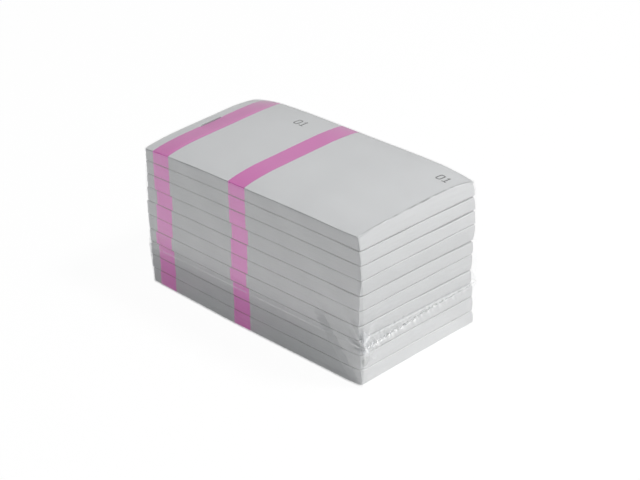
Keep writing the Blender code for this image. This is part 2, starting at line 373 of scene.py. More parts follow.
    def seal(self, across: np.ndarray) -> np.ndarray:
        """Height of the seal line, which climbs from front to back and wavers."""
        waver = sum(size * bell(across - place, width) for size, place, width in self.seal_wavers)
        return self.seal_height + self.seal_rise * across / self.width + waver


FORM = PackForm()
TOP_BOOK = len(LIES) - 1


class Wiring:
    """Short calls that add and join the nodes of one tree."""

    def __init__(self, tree: NodeTree) -> None:
        """Work on the given tree."""
        self.tree = tree

    def add(self, kind: str, **settings: object) -> Node:
        """Add a node and set its own properties.

        Args:
            kind: Blender's name for the node's type.
            settings: Properties to set on it.

        Returns:
            The new node.
        """
        node = self.tree.nodes.new(kind)
        for name, value in settings.items():
            setattr(node, name, value)
        return node

    def feed(self, node: Node, values: dict[str | int, object]) -> Node:
        """Link some of a node's inputs to sockets, or set them to plain values.

        Args:
            node: The node.
            values: What its inputs take, by name or number.

        Returns:
            The node.
        """
        for key, value in values.items():
            if isinstance(value, NodeSocket):
                self.tree.links.new(value, node.inputs[key])
            else:
                node.inputs[key].default_value = value
        return node

    def math(self, operation: str, *values: object) -> NodeSocket:
        """Do a sum on sockets or numbers.

        Args:
            operation: Blender's name for the operation.
            values: What the node's inputs take.

        Returns:
            The result's socket.
        """
        node = self.add("ShaderNodeMath", operation=operation)
        return self.feed(node, dict(enumerate(values))).outputs[0]

    def step(self, value: object, low: float, high: float) -> NodeSocket:
        """A smooth step from 0 at one value to 1 at another.

        Args:
            value: The socket to read.
            low: Where the step starts.
            high: Where it ends.

        Returns:
            The step's socket.
        """
        node = self.add("ShaderNodeMapRange", interpolation_type="SMOOTHSTEP")
        return self.feed(node, {"Value": value, "From Min": low, "From Max": high}).outputs["Result"]

    def band(self, value: object, low: float, high: float, soft: float) -> NodeSocket:
        """A mask that is 1 between two values.

        Args:
            value: The socket to read.
            low: Where the band starts.
            high: Where it ends.
            soft: Half the width of its edges.

        Returns:
            The mask's socket.
        """
        into = self.step(value, low - soft, low + soft)
        out = self.step(value, high - soft, high + soft)
        return self.math("SUBTRACT", into, out)

    def stretch(self, vector: object, scale: Triple) -> NodeSocket:
        """A vector times a plain one."""
        node = self.add("ShaderNodeVectorMath", operation="MULTIPLY")
        return self.feed(node, {0: vector, 1: scale}).outputs[0]

    def noise(self, vector: object, scale: float, detail: float = 2.0) -> NodeSocket:
        """Soft noise from 0 to 1.

        Args:
            vector: Where to read it.
            scale: How fine it is, in cells per metre.
            detail: How many finer layers it has.

        Returns:
            The noise's socket.
        """
        node = self.add("ShaderNodeTexNoise")
        return self.feed(node, {"Vector": vector, "Scale": scale, "Detail": detail}).outputs["Fac"]

    def trait(self, name: str) -> NodeSocket:
        """A value that the mesh carries at its points."""
        return self.add("ShaderNodeAttribute", attribute_name=name).outputs["Fac"]

    def split(self, vector: object) -> NodeOutputs:
        """The three parts of a vector, by their letters."""
        return self.feed(self.add("ShaderNodeSeparateXYZ"), {0: vector}).outputs

    def mix(self, factor: object, first: object, second: object) -> NodeSocket:
        """Blend two colours.

        Args:
            factor: Share of the second.
            first: A colour or its socket.
            second: A colour or its socket.

        Returns:
            The blend's socket.
        """
        node = self.add("ShaderNodeMix", data_type="RGBA")
        return self.feed(node, {0: factor, 6: first, 7: second}).outputs[2]

    def blend(self, factor: object, first: Node, second: Node) -> Node:
        """Blend two shaders.

        Args:
            factor: Share of the second.
            first: A shader's node.
            second: Another's.

        Returns:
            The blend's node.
        """
        node = self.add("ShaderNodeMixShader")
        return self.feed(node, {0: factor, 1: first.outputs[0], 2: second.outputs[0]})

    def group(self, tree: NodeTree, **values: object) -> Node:
        """Place a node group and feed its named inputs.

        Args:
            tree: The group.
            values: What its inputs take.

        Returns:
            The group's node.
        """
        return self.feed(self.add("ShaderNodeGroup", node_tree=tree), values)

    def leave(self, **values: object) -> NodeTree:
        """Feed the named outputs of a group, and hand its tree over."""
        self.feed(self.add("NodeGroupOutput"), values)
        return self.tree


def new_group(name: str, inputs: Iterable[str], outputs: Iterable[str]) -> tuple[Wiring, Node]:
    """Start a shader node group.

    Args:
        name: The group's name.
        inputs: Names of its inputs, all vectors.
        outputs: Names of its outputs, all values.

    Returns:
        The group's wiring and its input node.
    """
    tree = bpy.data.node_groups.new(name, "ShaderNodeTree")
    for title in inputs:
        tree.interface.new_socket(name=title, in_out="INPUT", socket_type="NodeSocketVector")
    for title in outputs:
        tree.interface.new_socket(name=title, in_out="OUTPUT", socket_type="NodeSocketFloat")
    wiring = Wiring(tree)
    return wiring, wiring.add("NodeGroupInput")


@dataclass
class Effects:
    """The shader node groups that more than one material uses."""

    form: PackForm
    ragged: float = 0.00024
    ragged_grain: float = 900.0
    ragged_stretch: Triple = (0.1, 1.0, 1.0)
    bend_start: float = 0.016
    bend_rate: float = 3.6
    bend_fade: Pair = (-12.0, 1.1)
    ink_shift: float = 0.00022
    ink_spread: float = 0.00025
    ink_soft: float = 0.00008
    slit_half_width: float = 0.00014
    slit_soft: float = 0.00005
    slit_share: Pair = (0.32, 0.68)
    slit_share_soft: float = 0.05
    cloud_grain: float = 70.0
    cloud_weight: float = 1.4
    fleck_grain: float = 1400.0
    fleck_relief: float = 0.5
    fibre_grain: float = 5200.0
    fibre_stretch: Triple = (1.0, 0.35, 1.0)
    fine_detail: float = 3.0
    side_slope: Pair = (0.35, 0.75)
    coarse_leaves: Triple = (14.0, 14.0, 1500.0)
    fine_leaves: Triple = (60.0, 60.0, 7000.0)
    fine_weight: float = 0.7

    def __post_init__(self) -> None:
        """Build every group once."""
        self.ticket_print = self.build_print()
        self.paper_stock = self.build_stock()
        self.cut_leaves = self.build_leaves()

    def build_print(self) -> NodeTree:
        """The two stripes of a book's print, and its perforation slits, where the paper takes painted shade.

        Returns:
            A group from a position to masks for ink and slits.
        """
        wiring, entry = new_group("ticket_print", ["Position"], ["Ink", "Slits"])
        position = entry.outputs["Position"]
        parts = wiring.split(position)
        wander = wiring.noise(wiring.stretch(position, self.ragged_stretch), self.ragged_grain)
        ragged = wiring.math("MULTIPLY_ADD", wander, self.ragged, parts["X"])
        past = wiring.math("SUBTRACT", parts["Y"], self.bend_start)
        behind = wiring.math("MAXIMUM", past, 0.0)
        bend = wiring.math("MULTIPLY", wiring.math("POWER", behind, 2.0), self.bend_rate)
        fade = wiring.math("MULTIPLY_ADD", parts["X"], *self.bend_fade)
        bent = wiring.math("MULTIPLY_ADD", bend, fade, ragged)
        along = wiring.math("SUBTRACT", bent, self.ink_shift)
        bands = []
        for start in (self.form.stub_margin, self.form.stub_margin + self.form.stripe_pitch):
            end = start + self.form.stripe_width + self.ink_spread
            bands.append(wiring.band(along, start, end, self.ink_soft))
        cell = wiring.math("FRACT", wiring.math("DIVIDE", parts["Y"], self.form.slit_pitch))
        slit = wiring.band(cell, *self.slit_share, self.slit_share_soft)
        lines = []
        for line in (self.form.stub_line, self.form.tear_line):
            low = line - self.slit_half_width
            high = line + self.slit_half_width
            lines.append(wiring.band(parts["X"], low, high, self.slit_soft))
        slits = wiring.math("MULTIPLY", wiring.math("ADD", *lines), slit)
        return wiring.leave(Ink=wiring.math("ADD", *bands), Slits=slits)

    def build_stock(self) -> NodeTree:
        """Cloudy formation and fine fibres of thin uncoated paper.

        Returns:
            A group from a position to a tone around 0 and a height for bump.
        """
        wiring, entry = new_group("paper_stock", ["Position"], ["Tone", "Height"])
        position = entry.outputs["Position"]
        cloud = wiring.noise(position, self.cloud_grain, self.fine_detail)
        fleck = wiring.noise(position, self.fleck_grain)
        stretched = wiring.stretch(position, self.fibre_stretch)
        fibre = wiring.noise(stretched, self.fibre_grain, self.fine_detail)
        drift = wiring.math("SUBTRACT", cloud, 0.5)
        spots = wiring.math("SUBTRACT", fleck, 0.5)
        tone = wiring.math("MULTIPLY_ADD", drift, self.cloud_weight, spots)
        return wiring.leave(Tone=tone, Height=wiring.math("MULTIPLY_ADD", fleck, self.fleck_relief, fibre))

    def build_leaves(self) -> NodeTree:
        """The stacked cut edges of the leaves on a book's sides.

        Returns:
            A group from a position and a normal to a side mask and the lines of the leaves.
        """
        wiring, entry = new_group("cut_leaves", ["Position", "Normal"], ["Side", "Lines"])
        upright = wiring.math("ABSOLUTE", wiring.split(entry.outputs["Normal"])["Z"])
        side = wiring.math("SUBTRACT", 1.0, wiring.step(upright, *self.side_slope))
        position = entry.outputs["Position"]
        coarse = wiring.noise(wiring.stretch(position, self.coarse_leaves), 1.0)
        fine = wiring.noise(wiring.stretch(position, self.fine_leaves), 1.0)
        lines = wiring.math("MULTIPLY_ADD", fine, self.fine_weight, coarse)
        return wiring.leave(Side=side, Lines=wiring.math("MULTIPLY", lines, side))


def new_material(name: str) -> tuple[Material, Wiring, Node]:
    """Start a material with a Principled shader.

    Args:
        name: The material's name.

    Returns:
        The material, its wiring and its Principled node.
    """
    material = bpy.data.materials.new(name)
    material.use_nodes = True
    return material, Wiring(material.node_tree), material.node_tree.nodes["Principled BSDF"]


@dataclass(frozen=True)
class PaperFinish:
    """Thin white ticket paper with two printed stripes, flat on its faces and cut at its sides."""

    name: str
    face: Colour
    cut: Colour
    ink_face: Colour
    ink_cut: Colour
    cloud_shade: float = 0.05
    leaf_shade: float = 0.06
    rim_shade: float = 0.34
    slit_shade: float = 0.45
    roughness: float = 0.68
    uneven_roughness: float = 0.12
    specular: float = 0.3
    leaf_relief: float = 2.0
    bump: float = 0.00002
    bump_strength: float = 0.5
    painted_shade_name: str = "rim"

    def material(self, effects: Effects) -> Material:
        """Build the finish.

        Args:
            effects: The shared node groups.

        Returns:
            The material.
        """
        material, wiring, shader = new_material(self.name)
        place = wiring.add("ShaderNodeTexCoord").outputs
        printed = wiring.group(effects.ticket_print, Position=place["Object"]).outputs
        stock = wiring.group(effects.paper_stock, Position=place["Object"]).outputs
        leaves = wiring.group(effects.cut_leaves, Position=place["Object"], Normal=place["Normal"]).outputs
        # The cut sides take a darker paper colour than the faces: partly the cut edges' own grey, partly
        # painted shade between the leaves
        paper = wiring.mix(leaves["Side"], self.face, self.cut)
        ink = wiring.mix(leaves["Side"], self.ink_face, self.ink_cut)
        colour = wiring.mix(printed["Ink"], paper, ink)
        light = wiring.math("MULTIPLY_ADD", stock["Tone"], self.cloud_shade, 1.0)
        layered = wiring.math("SUBTRACT", leaves["Lines"], leaves["Side"])
        streak = wiring.math("MULTIPLY_ADD", layered, self.leaf_shade, light)
        # Painted shade: grey the paper by the pad's painted-shade attribute, in the gaps between books and
        # under the top leaf's free edge
        gap_shaded = wiring.math("MULTIPLY_ADD", wiring.trait(self.painted_shade_name), -self.rim_shade, streak)
        # Painted shade in the perforation slits
        slits = wiring.math("MULTIPLY_ADD", printed["Slits"], -self.slit_shade, 1.0)
        shaded = wiring.add("ShaderNodeVectorMath", operation="SCALE")
        wiring.feed(shaded, {0: colour, "Scale": wiring.math("MULTIPLY", gap_shaded, slits)})
        height = wiring.math("MULTIPLY_ADD", leaves["Lines"], self.leaf_relief, stock["Height"])
        relief = wiring.add("ShaderNodeBump")
        wiring.feed(relief, {"Strength": self.bump_strength, "Distance": self.bump, "Height": height})
        looks = {
            "Base Color": shaded.outputs[0],
            "Roughness": wiring.math("MULTIPLY_ADD", stock["Tone"], self.uneven_roughness, self.roughness),
            "Specular IOR Level": self.specular,
            "Normal": relief.outputs[0],
        }
        wiring.feed(shader, looks)
        return material


@dataclass(frozen=True)
class NumberFinish:
    """Dark grey printed figures, a little uneven."""

    name: str = "number_ink"
    dark: Colour = (0.022, 0.024, 0.026, 1.0)
    worn: Colour = (0.09, 0.093, 0.096, 1.0)
    wear: Pair = (0.55, 0.95)
    roughness: float = 0.6

    def material(self, effects: Effects) -> Material:
        """Build the finish.

        Args:
            effects: The shared node groups.

        Returns:
            The material.
        """
        material, wiring, shader = new_material(self.name)
        place = wiring.add("ShaderNodeTexCoord").outputs["Object"]
        stock = wiring.group(effects.paper_stock, Position=place).outputs
        colour = wiring.mix(wiring.step(stock["Height"], *self.wear), self.dark, self.worn)
        wiring.feed(shader, {"Base Color": colour, "Roughness": self.roughness})
        return material


@dataclass(frozen=True)
class WireFinish:
    """Bright galvanised staple wire with drawing marks."""

    name: str = "staple_steel"
    bright: Colour = (0.55, 0.56, 0.58, 1.0)
    dull: Colour = (0.24, 0.25, 0.27, 1.0)
    mark_grain: float = 900.0
    mark_stretch: Triple = (9.0, 0.6, 9.0)
    roughness: float = 0.12
    mark_roughness: float = 0.14
    uneven_roughness: float = 0.1

    def material(self, effects: Effects) -> Material:
        """Build the finish.

        Args:
            effects: The shared node groups.

        Returns:
            The material.
        """
        material, wiring, shader = new_material(self.name)
        place = wiring.add("ShaderNodeTexCoord").outputs["Object"]
        stock = wiring.group(effects.paper_stock, Position=place).outputs
        stretched = wiring.stretch(place, self.mark_stretch)
        marks = wiring.noise(stretched, self.mark_grain, effects.fine_detail)
        marked = wiring.math("MULTIPLY_ADD", marks, self.mark_roughness, self.roughness)
        rough = wiring.math("MULTIPLY_ADD", stock["Tone"], self.uneven_roughness, marked)
        colour = wiring.mix(marks, self.dull, self.bright)
        wiring.feed(shader, {"Base Color": colour, "Roughness": rough, "Metallic": 1.0})
        return material


@dataclass(frozen=True)
class FilmFinish:
    """Clear shrink film: it mirrors at a slant, turns milky where it is gathered, and takes painted shade in
    sunk folds.
    """

    name: str = "clear_shrink_film"
    milk: Colour = (0.60, 0.625, 0.66, 1.0)
    pale_milk: Colour = (0.70, 0.715, 0.73, 1.0)
    milk_grain: float = 220.0
    milk_edge: Pair = (0.25, 0.60)
    milk_roughness: float = 0.3
    fold_shade: Colour = (0.80, 0.81, 0.80, 1.0)
    refraction: float = 1.5
    mirror: float = 2.4
    haze: float = 0.012
    gathered_haze: float = 0.6
    sheen: float = 0.075
    gathered_sheen: float = 0.36
    slack_grain: float = 120.0
    slack_strength: float = 0.35
    slack_bump: float = 0.00004
    fine_slack: float = 0.08
    gather_name: str = "gather"
    relief_name: str = "relief"
    lean_name: str = "lean"

    def relief(self, wiring: Wiring, effects: Effects, place: object, normal: object) -> NodeSocket:
        """Lean the film's planes, break it into facets and leave it a little slack.

        Args:
            wiring: The material's wiring.
            effects: The shared node groups.
            place: Where to read the noise.
            normal: The film's plain normal.

        Returns:
            The normal that the film mirrors with.
        """
        stock = wiring.group(effects.paper_stock, Position=place).outputs
        upward = wiring.feed(wiring.add("ShaderNodeCombineXYZ"), {"Z": wiring.trait(self.lean_name)})
        leaning = wiring.add("ShaderNodeVectorMath", operation="ADD")
        wiring.feed(leaning, {0: normal, 1: upward.outputs[0]})
        planes = wiring.add("ShaderNodeVectorMath", operation="NORMALIZE")
        wiring.feed(planes, {0: leaning.outputs[0]})
        facets = wiring.add("ShaderNodeBump")
        heights = wiring.trait(self.relief_name)
        wiring.feed(facets, {"Normal": planes.outputs[0], "Distance": 1.0, "Height": heights})
        slack = wiring.noise(place, self.slack_grain)
        uneven = wiring.math("MULTIPLY_ADD", stock["Tone"], self.fine_slack, slack)
        skin = wiring.add("ShaderNodeBump")
        wiring.feed(skin, {"Strength": self.slack_strength, "Distance": self.slack_bump})
        wiring.feed(skin, {"Normal": facets.outputs[0], "Height": uneven})
        return skin.outputs[0]

    def material(self, effects: Effects) -> Material:
        """Build the finish.

        Args:
            effects: The shared node groups.

        Returns:
            The material.
        """
        material, wiring, shader = new_material(self.name)
        place = wiring.add("ShaderNodeTexCoord").outputs["Object"]
        facing = wiring.add("ShaderNodeNewGeometry").outputs
        outside = wiring.math("SUBTRACT", 1.0, facing["Backfacing"])
        normal = self.relief(wiring, effects, place, facing["Normal"])
        # The gather attribute: above 0 where the film is milky, below 0 for painted shade in sunk folds
        gather = wiring.trait(self.gather_name)
        rough = wiring.math("MULTIPLY_ADD", wiring.math("ABSOLUTE", gather), self.gathered_sheen, self.sheen)
        # A clear body, milky where it is gathered, with painted shade in sunk folds: a grey tint over what
        # shows through
        cloud = wiring.noise(place, self.milk_grain, effects.fine_detail)
        milky = wiring.math("MAXIMUM", gather, 0.0)
        broken = wiring.math("MULTIPLY", milky, wiring.step(cloud, *self.milk_edge))
        haze = wiring.math("MULTIPLY_ADD", broken, self.gathered_haze, self.haze)
        milk = wiring.mix(cloud, self.milk, self.pale_milk)
        milk_rough = wiring.math("ADD", rough, self.milk_roughness)
        wiring.feed(shader, {"Base Color": milk, "Roughness": milk_rough})
        sunk = wiring.math("MAXIMUM", wiring.math("MULTIPLY", gather, -1.0), 0.0)
        fold_shading = wiring.math("MULTIPLY", wiring.math("MINIMUM", sunk, 1.0), outside)
        clear = wiring.add("ShaderNodeBsdfTransparent")
        wiring.feed(clear, {"Color": wiring.mix(fold_shading, grey(1.0), self.fold_shade)})
        body = wiring.blend(haze, clear, shader)
        # Its outer face mirrors for both faces
        gloss = wiring.add("ShaderNodeBsdfAnisotropic")
        wiring.feed(gloss, {"Color": grey(1.0), "Roughness": rough, "Normal": normal})
        fresnel = wiring.add("ShaderNodeFresnel")
        wiring.feed(fresnel, {"IOR": self.refraction, "Normal": normal})
        both_faces = wiring.math("MINIMUM", wiring.math("MULTIPLY", fresnel.outputs[0], self.mirror), 1.0)
        skin = wiring.blend(wiring.math("MULTIPLY", both_faces, outside), body, gloss)
        wiring.feed(material.node_tree.nodes["Material Output"], {"Surface": skin.outputs[0]})
        return material


@dataclass(frozen=True)
class SealFinish:
    """The melted edge of the film: clear lumps that catch the light."""

    name: str = "melted_film_edge"
    clear: Colour = (0.90, 0.91, 0.91, 1.0)
    cloudy: Colour = (0.64, 0.66, 0.68, 1.0)
    lump_grain: float = 420.0
    lump_edge: Pair = (0.45, 0.6)
    roughness: float = 0.08
    uneven_roughness: float = 0.05
    refraction: float = 1.5

    def material(self, effects: Effects) -> Material:
        """Build the finish.

        Args:
            effects: The shared node groups.

        Returns:
            The material.
        """
        material, wiring, shader = new_material(self.name)
        place = wiring.add("ShaderNodeTexCoord").outputs["Object"]
        stock = wiring.group(effects.paper_stock, Position=place).outputs
        lumps = wiring.step(wiring.noise(place, self.lump_grain), *self.lump_edge)
        rough = wiring.math("MULTIPLY_ADD", stock["Tone"], self.uneven_roughness, self.roughness)
        wiring.feed(shader, {"Base Color": wiring.mix(lumps, self.clear, self.cloudy), "Roughness": rough})
        wiring.feed(shader, {"Transmission Weight": 1.0, "IOR": self.refraction})
        return material


@dataclass
class Ring:
    """One loop of points round a box."""

    bound: float
    free: float
    front: float
    back: float
    height: HeightRule
    outward: Optional[np.ndarray] = None
    corner_pull: float = 0.0


class BoxSkin:
    """The skin of a box-like piece: a fine grid on its lid, and rings of points down its sides."""

    def __init__(self, columns: Sequence[float], rows: Sequence[float]) -> None:
        """Take the grid's lines along and across the pack.

        Args:
            columns: Places along the pack, rising.
            rows: Places across the pack, rising.
        """
        self.columns = np.array(columns)
        self.rows = np.array(rows)
        last_column = len(columns) - 1
        last_row = len(rows) - 1
        loop = [(i, 0) for i in range(last_column)]
        loop += [(last_column, j) for j in range(last_row)]
        loop += [(i, last_row) for i in range(last_column, 0, -1)]
        loop += [(0, j) for j in range(last_row, 0, -1)]
        self.loop = np.array(loop)
        self.out_x = np.where(self.loop[:, 0] == 0, -1, 0) + np.where(self.loop[:, 0] == last_column, 1, 0)
        self.out_y = np.where(self.loop[:, 1] == 0, -1, 0) + np.where(self.loop[:, 1] == last_row, 1, 0)

    def on(self, side: Side) -> np.ndarray:
        """Which points of the loop lie on a side.

        Args:
            side: The side.

        Returns:
            True or False for each point.
        """
        place = {
            Side.FRONT: self.out_y < 0,
            Side.BACK: self.out_y > 0,
            Side.BOUND: self.out_x < 0,
            Side.FREE: self.out_x > 0,
        }
        return place[side]

    def loop_places(self) -> tuple[np.ndarray, np.ndarray]:
        """The loop's places along and across the pack."""
        return self.columns[self.loop[:, 0]], self.rows[self.loop[:, 1]]

    def ring_points(self, ring: Ring) -> np.ndarray:
        """The points of one ring.

        Args:
            ring: The ring's sizes.

        Returns:
            One row of coordinates for each point of the loop.
        """
        along, across = self.loop_places()
        along = np.where(self.out_x < 0, ring.bound, np.where(self.out_x > 0, ring.free, along))
        across = np.where(self.out_y < 0, ring.front, np.where(self.out_y > 0, ring.back, across))
        corner = (self.out_x != 0) & (self.out_y != 0)
        out = np.where(corner, -ring.corner_pull, 0.0)
        if ring.outward is not None:
            out = out + ring.outward
        along = along + self.out_x * out
        across = across + self.out_y * out
        return np.column_stack((along, across, ring.height(along, across)))

    def mesh(
        self,
        name: str,
        rings: Sequence[Ring],
        lid: HeightRule,
        base: Optional[HeightRule] = None,
        flip: bool = False,
    ) -> Mesh:
        """Build the skin.

        Args:
            name: The mesh's name.
            rings: The rings from the lid's edge on.
            lid: Height of the lid.
            base: Height of the base, or None to leave the box open.
            flip: True where the lid faces down.

        Returns:
            The mesh.
        """
        deep = len(self.rows)
        grid = np.arange(len(self.columns) * deep).reshape(-1, deep)
        along, across = np.meshgrid(self.columns, self.rows, indexing="ij")
        points = [np.column_stack((along.ravel(), across.ravel(), lid(along, across).ravel()))]
        edge = grid[self.loop[:, 0], self.loop[:, 1]]
        points[0][edge] = self.ring_points(rings[0])
        count = len(points[0])
        faces = [self.grid_faces(grid)]
        for ring in rings[1:]:
            points.append(self.ring_points(ring))
            following = np.arange(count, count + len(edge))
            count += len(edge)
            faces.append(np.column_stack((edge, following, np.roll(following, -1), np.roll(edge, -1))))
            edge = following
        if base is not None:
            low = np.full(grid.shape, -1)
            low[self.loop[:, 0], self.loop[:, 1]] = edge
            inner = low < 0
            low[inner] = np.arange(count, count + int(inner.sum()))
            points.append(np.column_stack((along[inner], across[inner], base(along[inner], across[inner]))))
            faces.append(self.grid_faces(low)[:, ::-1])
        quads = np.vstack(faces)
        if flip:
            quads = quads[:, ::-1]
        mesh = bpy.data.meshes.new(name)
        mesh.from_pydata(np.vstack(points).tolist(), [], quads.tolist())
        return mesh

    @staticmethod
    def grid_faces(grid: np.ndarray) -> np.ndarray:
        """Quads that face up over a grid of point numbers."""
        near = (grid[:-1, :-1], grid[1:, :-1], grid[1:, 1:], grid[:-1, 1:])
        return np.column_stack([part.ravel() for part in near])


def spaced(
    start: float, end: float, step: float, extra: Iterable[float] = (), fine: Sequence[float] = ()
) -> list[float]:
    """Places from start to end at an even step, with extra places and finer ones near both ends.

    Args:
        start: The first place.
        end: The last place.
        step: The step in the middle.
        extra: More places that are wanted.
        fine: Distances from both ends that are wanted.

    Returns:
        The places, rising, none nearer to another than a tenth of a millimetre.
    """
    wanted = [start, end, *extra]
    wanted += [start + inset for inset in fine] + [end - inset for inset in fine]
    wanted = sorted(place for place in wanted if start <= place <= end)
    kept = [start]
    for place in wanted[1:]:
        if place - kept[-1] > LEAST_CELL:
            kept.append(place)
    kept[-1] = end
    filled = []
    for first, second in zip(kept, kept[1:]):
        parts = max(1, math.ceil((second - first) / step))
        filled += [first + (second - first) * part / parts for part in range(parts)]
    return filled + [end]


def smooth(mesh: Mesh, angle: float = SHARP_ANGLE) -> None:
    """Shade a mesh smooth but for edges sharper than an angle in degrees."""
    mesh.shade_smooth()
    mesh.set_sharp_from_angle(angle=math.radians(angle))


def closed_mesh(name: str, body: bmesh.types.BMesh) -> Mesh:
    """Turn a closed bmesh into a mesh whose faces point out.

    Args:
        name: The mesh's name.
        body: The bmesh, which is freed.

    Returns:
        The mesh.
    """
    bmesh.ops.recalc_face_normals(body, faces=body.faces[:])
    mesh = bpy.data.meshes.new(name)
    body.to_mesh(mesh)
    body.free()
    return mesh


def wire_mesh(
    name: str, points: Sequence[Vector], square: Vector, radii: Sequence[float], sides: int
) -> Mesh:
    """Sweep a round wire along a path that lies square to a direction.

    Args:
        name: The mesh's name.
        points: The wire's middle line.
        square: The direction.
        radii: The wire's radius at each point.
        sides: How many sides it has.

    Returns:
        The mesh.
    """
    body = bmesh.new()
    loops = []
    for number, (point, radius) in enumerate(zip(points, radii)):
        before = points[max(number - 1, 0)]
        after = points[min(number + 1, len(points) - 1)]
        outward = (after - before).cross(square).normalized()
        loop = []
        for step in range(sides):
            angle = 2 * math.pi * step / sides
            reach = outward * math.cos(angle) + square * math.sin(angle)
            loop.append(body.verts.new(point + reach * float(radius)))
        loops.append(loop)
    for first, second in zip(loops, loops[1:]):
        for step in range(sides):
            after = (step + 1) % sides
            body.faces.new((first[step], first[after], second[after], second[step]))
    body.faces.new(loops[0])
    body.faces.new(loops[-1])
    return closed_mesh(name, body)


def place_piece(
    mesh: Mesh,
    material: Material,
    body: str,
    slot: Slot,
    origin: Sequence[float] = (0.0, 0.0, 0.0),
    stands_for: Sequence[str] = (),
) -> Object:
    """Put a mesh drawn in pack coordinates into the scene, on the CAD body that carries it.

    Args:
        mesh: The mesh, whose name the piece takes.
        material: Its finish.
        body: The CAD body it rides on.
        slot: The record's slot for its finish; not used.
        origin: The pack point that its own coordinates start at.
        stands_for: The CAD nodes it replaces.

    Returns:
        The piece.
    """
    start = Vector(origin)
    mesh.transform(Matrix.Translation(-start))
    mesh.materials.append(material)
    piece = bpy.data.objects.new(mesh.name, mesh)
    bpy.context.scene.collection.objects.link(piece)
    piece.location = start + FORM.offset
    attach(piece, body)
    if stands_for:
        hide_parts(*stands_for)
    LOG.info("%s rides on %s", piece.name, body)
    return piece


